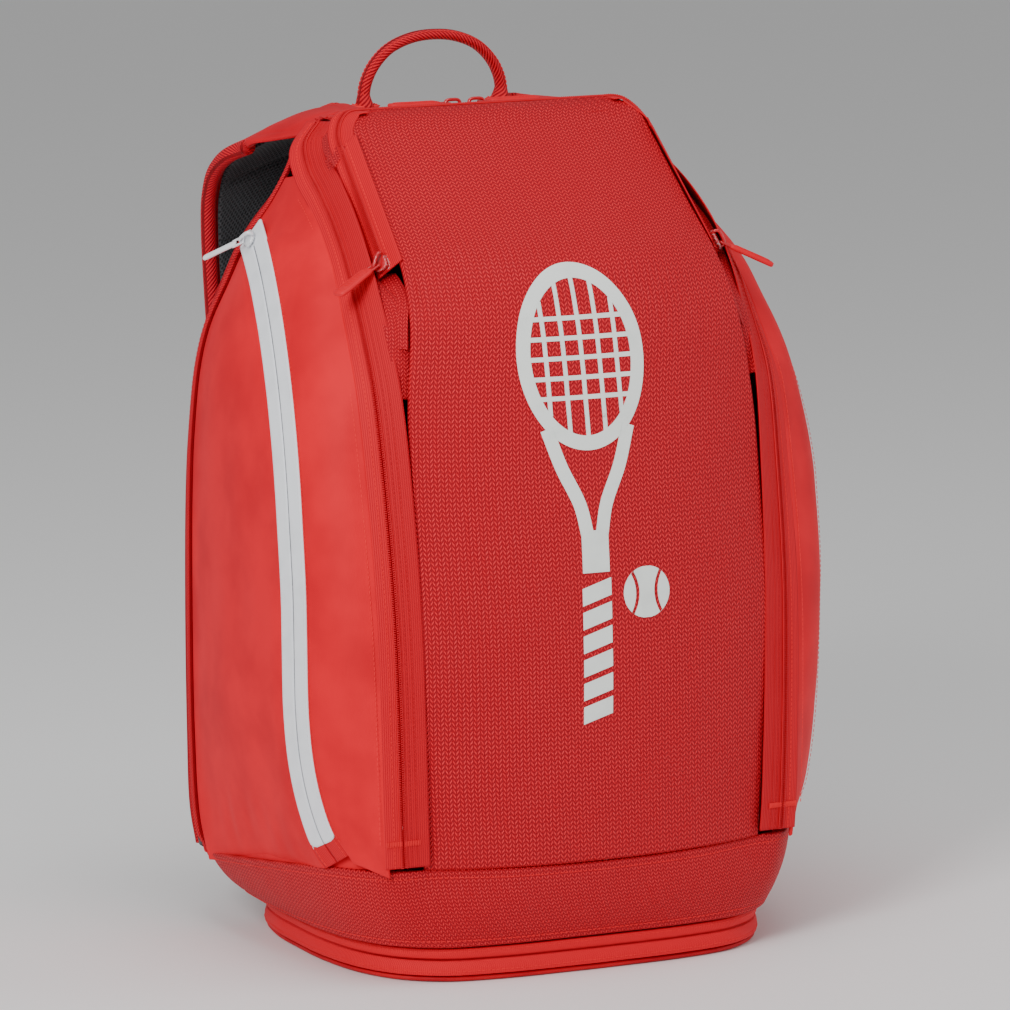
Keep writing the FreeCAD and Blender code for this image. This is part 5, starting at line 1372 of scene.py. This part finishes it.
def ring_coil(z, up):
    P = resample(half_ring(d3(D_RING, z), 160, .9), 600)
    T = unit(np.gradient(P, axis=0))
    N = unit(np.cross(A3(0, 0, 1), T))
    if np.sum(N * (P - A3(0, 10, z))) < 0:
        N = -N
    Cc, Tt, Nn = along(P, N, 1.4, 0 if up > 0 else .7)
    bars = capsules("coil", Cc + A3(0, 0, up * .75), np.tile(A3(0, 0, 1), (len(Cc), 1)) + Tt * .2 * up, Nn, 1.5, .8, 1.0, M_COIL)
    return bars


def lower_extra(O, NB, au):
    return ring_stitch(.3)(O, NB, au) + [ring_coil(14.0, -1)]


def upper_extra(O, NB, au):
    return ring_stitch(.72)(O, NB, au) + [ring_coil(14.0, 1)]


ring_tape("base_zip_lower_half", 4.2, 13.6, 2.1, 1.1, M_RING, "base_lid", "base_zip_tape_lower", lower_extra)
ring_tape("base_zip_upper_half", 14.4, 21.2, 1.1, 1.9, M_RING, "pack_body", "base_zip_tape_upper", upper_extra)

# floor of the base: a stiffened panel with a rounded lip
full = half_ring(D_RING and d3(D_RING, 0), 160, .8)
pl = resample(np.concatenate([full, [A3(108, 110.2, 0)], [A3(-108, 110.2, 0)], full[:1]]), 420)
cen = A3(0, 8, 0)
rings_ = []
for k, z in ((.0, 3.8), (.5, 4.0), (.965, 4.0), (.992, 3.4), (1.0, 2.0), (.992, .7), (.965, .05), (.5, .05), (.0, .05)):
    R = cen + (pl - cen) * max(k, .001)
    R[:, 2] = z
    rings_.append(R)
G = np.stack(rings_)
uv = np.stack([G[..., 0], G[..., 1]], 2).reshape(-1, 2)
keep(mesh_obj("base_floor_cloth", G.reshape(-1, 3), grid_faces(len(rings_), 420), M_BOARD, uv), "base_lid", "base_board", "base_panel")

# rear of the base, below the back panel
parts = []
for x0, z0, z1 in ((112.5, .3, 21.8), (125, 21.9, 44.8)):
    x = np.linspace(-x0, x0, 60)[None, :]
    z = np.linspace(z0, z1, 14)[:, None]
    G = np.stack([x + 0 * z, np.full((14, 60), 118.4), z + 0 * x], 2)
    ob, *_ = cushion("br", G, 3.0, 1.2, M_SIDE, (0, 60, 20), 10, 60, lambda G, au, av, d: .2 * noise(G, 18, 3))
    parts.append(ob)
keep(join("base_rear_cloth", parts), "pack_body", "base_board", "base_rear_panel")

# ------------------------------------------------------------------ sliders and pulls
def slider_visual(name, hinge, axis, travel, pull, n, length, wa, wb, mat_s, mat_p, slot_s, slot_p, thin=False):
    """Rounded body over the coil, a bail, and a grip hanging from it."""
    hinge, q, t, p, n = A3(*hinge), unit(A3(*axis)), unit(A3(*travel)), unit(A3(*pull)), unit(A3(*n))
    flat = unit(p - n * (p @ n))
    if abs(flat @ q) > .2:
        flat = unit(np.cross(q, n)) * (1 if np.cross(q, n) @ p > 0 else -1)
    o = hinge - flat * 2.6 - n * 4.9
    lat = unit(np.cross(t, n))
    parts = []
    body = []
    for k, (a, w) in enumerate(((-6.2, 2.6), (-5.2, 3.9), (-2.0, 4.4), (2.0, 4.2), (4.6, 3.4), (6.2, 2.2))):
        body.append((a, w))
    for h0, h1 in ((2.0, 3.8), (-.2, .5)):
        V, F = [], []
        prof = [(-1, 0), (-1, .55), (-.8, .9), (-.3, 1), (.3, 1), (.8, .9), (1, .55), (1, 0)]
        for a, w in body:
            for x, y in prof:
                V.append(o + t * a + lat * (w * x) + n * (h0 + (h1 - h0) * y))
        m, k = len(body), len(prof)
        for i in range(m - 1):
            for j in range(k):
                F.append([i * k + j, i * k + (j + 1) % k, (i + 1) * k + (j + 1) % k, (i + 1) * k + j])
        F += [list(range(k))[::-1], [(m - 1) * k + j for j in range(k)]]
        parts.append(mesh_obj("s", V, F, mat_s, np.zeros((len(V), 2))))
    arch_ = [o + flat * a + n * h for a, h in ((-5.0, 3.2), (-4.9, 5.0), (-4.2, 6.3), (-2.5, 6.9), (0, 7.0), (2.5, 6.9), (4.2, 6.3), (4.9, 5.0), (5.0, 3.2))]
    parts.append(tube("s", smooth([tuple(x) for x in arch_], 34), 1.05, mat_s, np.tile(q, (34, 1)), ratio=1.15, seg=12))
    sl = join("slider_" + name, parts)
    keep(sl, name + "_slider", slot_s, name + "_slider")
    n2 = unit(n - p * (n @ p))
    u = [tube("p", [hinge - q * 3.0 + q * x for x in np.linspace(0, 6, 8)], .7, mat_s, np.tile(n2, (8, 1)), seg=10)]
    for e in (-2.3, 2.3):
        u.append(tube("p", [hinge + q * e + p * x for x in np.linspace(-.3, 8.5, 10)], .72, mat_s, np.tile(n2, (10, 1)), seg=10))
    th = .95 if thin else 1.5
    prof = [(6.0, wa * .62), (6.6, wa * .86), (8.0, wa), (length * .55, wa + (wb - wa) * .55), (length - 4, wb), (length - 1.6, wb * .93), (length - .5, wb * .74), (length, wb * .45)]
    sec = [(-1, 0), (-.93, .6), (-.72, 1), (0, 1.06), (.72, 1), (.93, .6), (1, 0), (.93, -.6), (.72, -1), (0, -1.06), (-.72, -1), (-.93, -.6)]
    V, F = [], []
    dense = smooth([(a, w, 0) for a, w in prof], 40)
    for i, (a, w, _) in enumerate(dense):
        e = math.sqrt(max(.0, min(1, min(a - 6.0 + .3, length - a + .3) / 1.6)))
        for x, y in sec:
            V.append(hinge + p * a + q * (w / 2 * x) + n2 * (th * y * (.45 + .55 * e)))
    m, k = len(dense), len(sec)
    for i in range(m - 1):
        for j in range(k):
            F.append([i * k + j, i * k + (j + 1) % k, (i + 1) * k + (j + 1) % k, (i + 1) * k + j])
    F += [list(range(k))[::-1], [(m - 1) * k + j for j in range(k)]]
    u.append(mesh_obj("p", V, F, mat_p, np.zeros((len(V), 2))))
    if not thin:
        rim = [hinge + p * a + q * (x * (wa + (wb - wa) * (a - 8) / (length - 8)) / 2 * .62) + n2 * (th + .05) for a, x in
               ((10.5, -1), (length * .5, -1), (length - 5, -1), (length - 3.4, -.6), (length - 3.0, 0), (length - 3.4, .6), (length - 5, 1), (length * .5, 1), (10.5, 1), (9.6, .6), (9.4, 0), (9.6, -.6), (10.5, -1))]
        u.append(tube("p", smooth([tuple(x) for x in rim], 120), .38, mat_p, np.tile(n2, (120, 1)), seg=8, caps=False))
        for i in range(6):
            c = hinge + p * (length - 8.5 - i * 2.4) + n2 * (th + .1)
            u.append(capsules("p", [c], [q], [n2], (wa + wb) / 2 * .5, .8, .8, mat_p))
    pl_ = join("pull_" + name, u)
    keep(pl_, name + "_pull", slot_p, name + "_pull")


def put_slider(name, s, hinge, axis, travel, pull, n, *a, **k):
    f = A3(-s, 1, 1)
    slider_visual(name, A3(*hinge) * f, A3(*axis) * f, A3(*travel) * f, A3(*pull) * f, A3(*n) * f, *a, **k)


for s, nm in ((-1, "left"), (1, "right")):
    put_slider("flap_zip_" + nm, s, (-114.38, -36.51, 425.71), (-0.3287, 0.9445, 0.0), (0.0496, 0.7587, 0.6496), (-0.859, -0.299, -0.415), (-.8593, -.2990, .4149), 35, 7.5, 10, M_SLIDER, M_PULL, "slider_red", "pull_red")
    put_slider("main_zip_" + nm, s, (-10.6, 84.0, 503.4), (0, 1, 0), (-1, 0, 0), (-1, 0, 0), (0, 0, 1), 40, 7, 9, M_SLIDER, M_PULL, "slider_red", "pull_red")
    put_slider("side_zip_" + nm, s, (-150.15, 78.11, 428.74), (0.3862, 0.6382, 0.666), (-0.2359, -0.8992, -0.3685), (-0.498, 0.752, -0.432), tuple(white_normals(np.array([w_arc(W_ANG * .045 / abs(W_ANG))]))[0]), 32, 4.0, 4.0, M_SLIDER_W, M_PULL_W, "slider_white", "pull_white", thin=True)
slider_visual("base_zip", (145.1, 27.6, 14.0), (0, 0, -1), (0, 1, 0), (0, 1, 0), (1, 0, 0), 34, 7, 9, M_SLIDER, M_PULL, "slider_red", "pull_red")

# ------------------------------------------------------------------ inside walls keep their CAD mesh, with a lining on it
def uv_box(o, f=1000.0):
    me = o.data
    lay = me.uv_layers.get("UVMap") or me.uv_layers.new(name="UVMap")
    for p in me.polygons:
        n = p.normal
        ax = max(range(3), key=lambda i: abs(n[i]))
        for li in p.loop_indices:
            v = me.vertices[me.loops[li].vertex_index].co
            c = [v[i] * f for i in range(3) if i != ax]
            lay.data[li].uv = c


for nme in ("organiser_wall", "pocket_liner_left", "pocket_liner_right", "shoe_divider"):
    o = NODES[nme]
    uv_box(o)
    o.data.materials.clear()
    o.data.materials.append(M_LINE)

# ------------------------------------------------------------------ top corners: the gusset and the flap zip turn over onto the top
for s, nm in ((-1, "left"), (1, "right")):
    e1 = smooth([(100.6, 31.0, 490.5), (99.0, 40, 496.0), (94.0, 48, 502.0), (88, 57, 505.0), (85, 66, 503.6), (85, 72, 501.6)], 80)
    e2 = smooth([(110.2, 33.0, 476.0), (109.4, 45, 478.5), (107.6, 55, 481.8), (105.0, 63.5, 486.0), (101.0, 69.5, 490.6), (95.0, 72.5, 496.5)], 80)
    G = loft(mirror_x(e1, s), mirror_x(e2, s), 26, 1.3, (0, 40, 430), e=6)
    ob, *_ = cushion("gusset_corner_" + nm, G, 1.6, .8, M_JAC2, (0, 40, 430), 60, 20, lambda G, au, av, d: .5 * noise(G, 13, 1))
    keep(ob, "front_pod", "jacquard_red")
    path = mirror_x(smooth([(104.2, 32.0, 483.2), (104.5, 36.5, 487.0), (103.0, 43.6, 493.2), (99.0, 50.0, 499.8), (93.0, 54.4, 504.6), (87.0, 55.5, 506.0), (82, 55.5, 506.0)], 90), s)
    n0 = np.array([(.8593, -.2990, .4149), (.84, -.30, .45), (.74, -.26, .62), (.50, -.16, .85), (.2, -.05, .98), (0, 0, 1), (0, 0, 1)])
    nn = unit(np.stack([np.interp(np.linspace(0, 6, 90), np.arange(7), n0[:, i]) for i in range(3)], 1)) * A3(s, 1, 1)
    T, L, M = frame_of(path, nn)
    out_ = path - A3(0, 20, 440)
    k = 1 if np.sum(L[20:50] * (A3(s * 1, .9, -.3))) > 0 else -1
    g_ = [tape("t", path, nn, *sorted((k * .15, k * 7.2)), M_TAPE)] + coil(path, nn, k, M_COIL) + [tape_stitch(path, nn, k * 4.6, M_THREAD)]
    f_ = [tape("t", path, nn, *sorted((-k * .15, -k * 11.0)), M_TAPE, cols=9)] + coil(path, nn, -k, M_COIL)
    keep(join("flap_zip_corner_gusset_" + nm, g_), "front_pod", "zip_tape_red")
    keep(join("flap_zip_corner_flap_" + nm, f_), "front_flap", "zip_tape_red")

# ------------------------------------------------------------------ turned-in cloth behind the seams, so no seam end opens on the dark inside
for s, nm in ((-1, "left"), (1, "right")):
    e1 = smooth([(111.0, -73.0, 380), (107.5, -66.0, 396), (103.0, -58.0, 408), (101.5, -46.0, 415.0), (101.5, -36.0, 420.0)], 60)
    e2 = smooth([(117.0, -64.0, 380), (116.2, -53.0, 394), (115.2, -43.5, 404), (114.2, -35.5, 411.5), (112.6, -27.0, 418.5)], 60)
    G = loft(mirror_x(e1, s), mirror_x(e2, s), 20, .6, (0, 40, 380), e=6)
    ob, *_ = cushion("flap_end_cloth_" + nm, G, .8, .4, M_JAC2, (0, 40, 380), 40, 16, lambda G, au, av, d: .3 * noise(G, 12, 1))
    keep(ob, "front_pod", "jacquard_red")
    # foot of the side: a strip of cloth standing just inside the base band's top edge
    lo_ = smooth([(127, -86, 66), (143, -71.5, 65), (151.5, -56, 63), (159.5, -25, 59.5), (163.5, 15, 54), (164.5, 60, 48), (163, 94, 43), (156, 109.5, 41)], 140)
    hi_ = smooth([(129, -84, 86), (143.5, -69.5, 85), (151, -54, 84), (158.5, -24, 80), (162.5, 15, 74), (163.5, 60, 66), (162, 92, 60), (155.5, 107.5, 57)], 140)
    G = loft(mirror_x(lo_, s), mirror_x(hi_, s), 14, .3, (0, 20, 60), e=6)
    ob, *_ = cushion("side_foot_cloth_" + nm, G, .8, .4, M_SIDE, (0, 20, 60), 60, 60, lambda G, au, av, d: .2 * noise(G, 14, 2))
    keep(ob, "pack_body", "polyester_red")
    # rear lower corner, from the base board round to the band and the side
    lo_ = smooth([(107, 117.6, 22.4), (118, 115.8, 22.6), (127.5, 110.5, 22.8), (133, 104.5, 23)], 60)
    hi_ = smooth([(124, 118.2, 46), (140, 117.2, 46), (152, 114.5, 45.5), (160.5, 108.5, 44.5)], 60)
    G = loft(mirror_x(lo_, s), mirror_x(hi_, s), 24, 1.6, (0, 60, 36), e=6)
    ob, *_ = cushion("rear_corner_cloth_" + nm, G, 1.4, .7, M_SIDE, (0, 60, 36), 30, 30, lambda G, au, av, d: .3 * noise(G, 12, 2))
    keep(ob, "pack_body", "base_board")

# ------------------------------------------------------------------ floor, light, camera
def plain_mat(name, color, rough):
    m = bpy.data.materials.new(name)
    m.use_nodes = True
    b = m.node_tree.nodes["Principled BSDF"]
    b.inputs["Base Color"].default_value = color
    b.inputs["Roughness"].default_value = rough
    return m


bpy.ops.mesh.primitive_plane_add(size=30, location=(0, 0, 0))
floor = bpy.context.active_object
floor.name = "floor"
floor.data.materials.append(plain_mat("floor", (.92, .92, .92, 1), .75))

world = bpy.data.worlds.new("studio")
world.use_nodes = True
world.node_tree.nodes["Background"].inputs[0].default_value = (1, 1, 1, 1)
world.node_tree.nodes["Background"].inputs[1].default_value = .38
bpy.context.scene.world = world


def area(name, loc, target, size, power, color=(1, 1, 1)):
    L = bpy.data.lights.new(name, "AREA")
    L.shape, L.size, L.size_y, L.energy, L.color = "RECTANGLE", size[0], size[1], power, color
    ob = bpy.data.objects.new(name, L)
    ob.location = loc
    ob.rotation_mode = "QUATERNION"
    ob.rotation_quaternion = (Vector(target) - Vector(loc)).to_track_quat("-Z", "Y")
    COL.objects.link(ob)
    return ob


area("key", (-1.9, -1.5, 1.55), (-.05, 0, .3), (.8, 1.1), 47)
area("fill", (2.2, -.9, .9), (0, 0, .25), (1.0, 1.4), 13)
area("top", (-.2, -.5, 2.2), (0, 0, .3), (1.2, 1.2), 16)

cam = bpy.data.cameras.new("camera")
cam.sensor_width, cam.lens = 36.0, 257.87
cam.clip_start, cam.clip_end = .05, 60
camera = bpy.data.objects.new("camera", cam)
COL.objects.link(camera)
camera.location = (-1.8726, -3.8894, 1.0315)
aim = Vector((0, -.05, .26)) - Vector((.8988, -.4384, 0)) * .033 + Vector((0, 0, 1)) * .015
camera.rotation_mode = "QUATERNION"
camera.rotation_quaternion = (aim - camera.location).to_track_quat("-Z", "Y")
bpy.context.scene.camera = camera
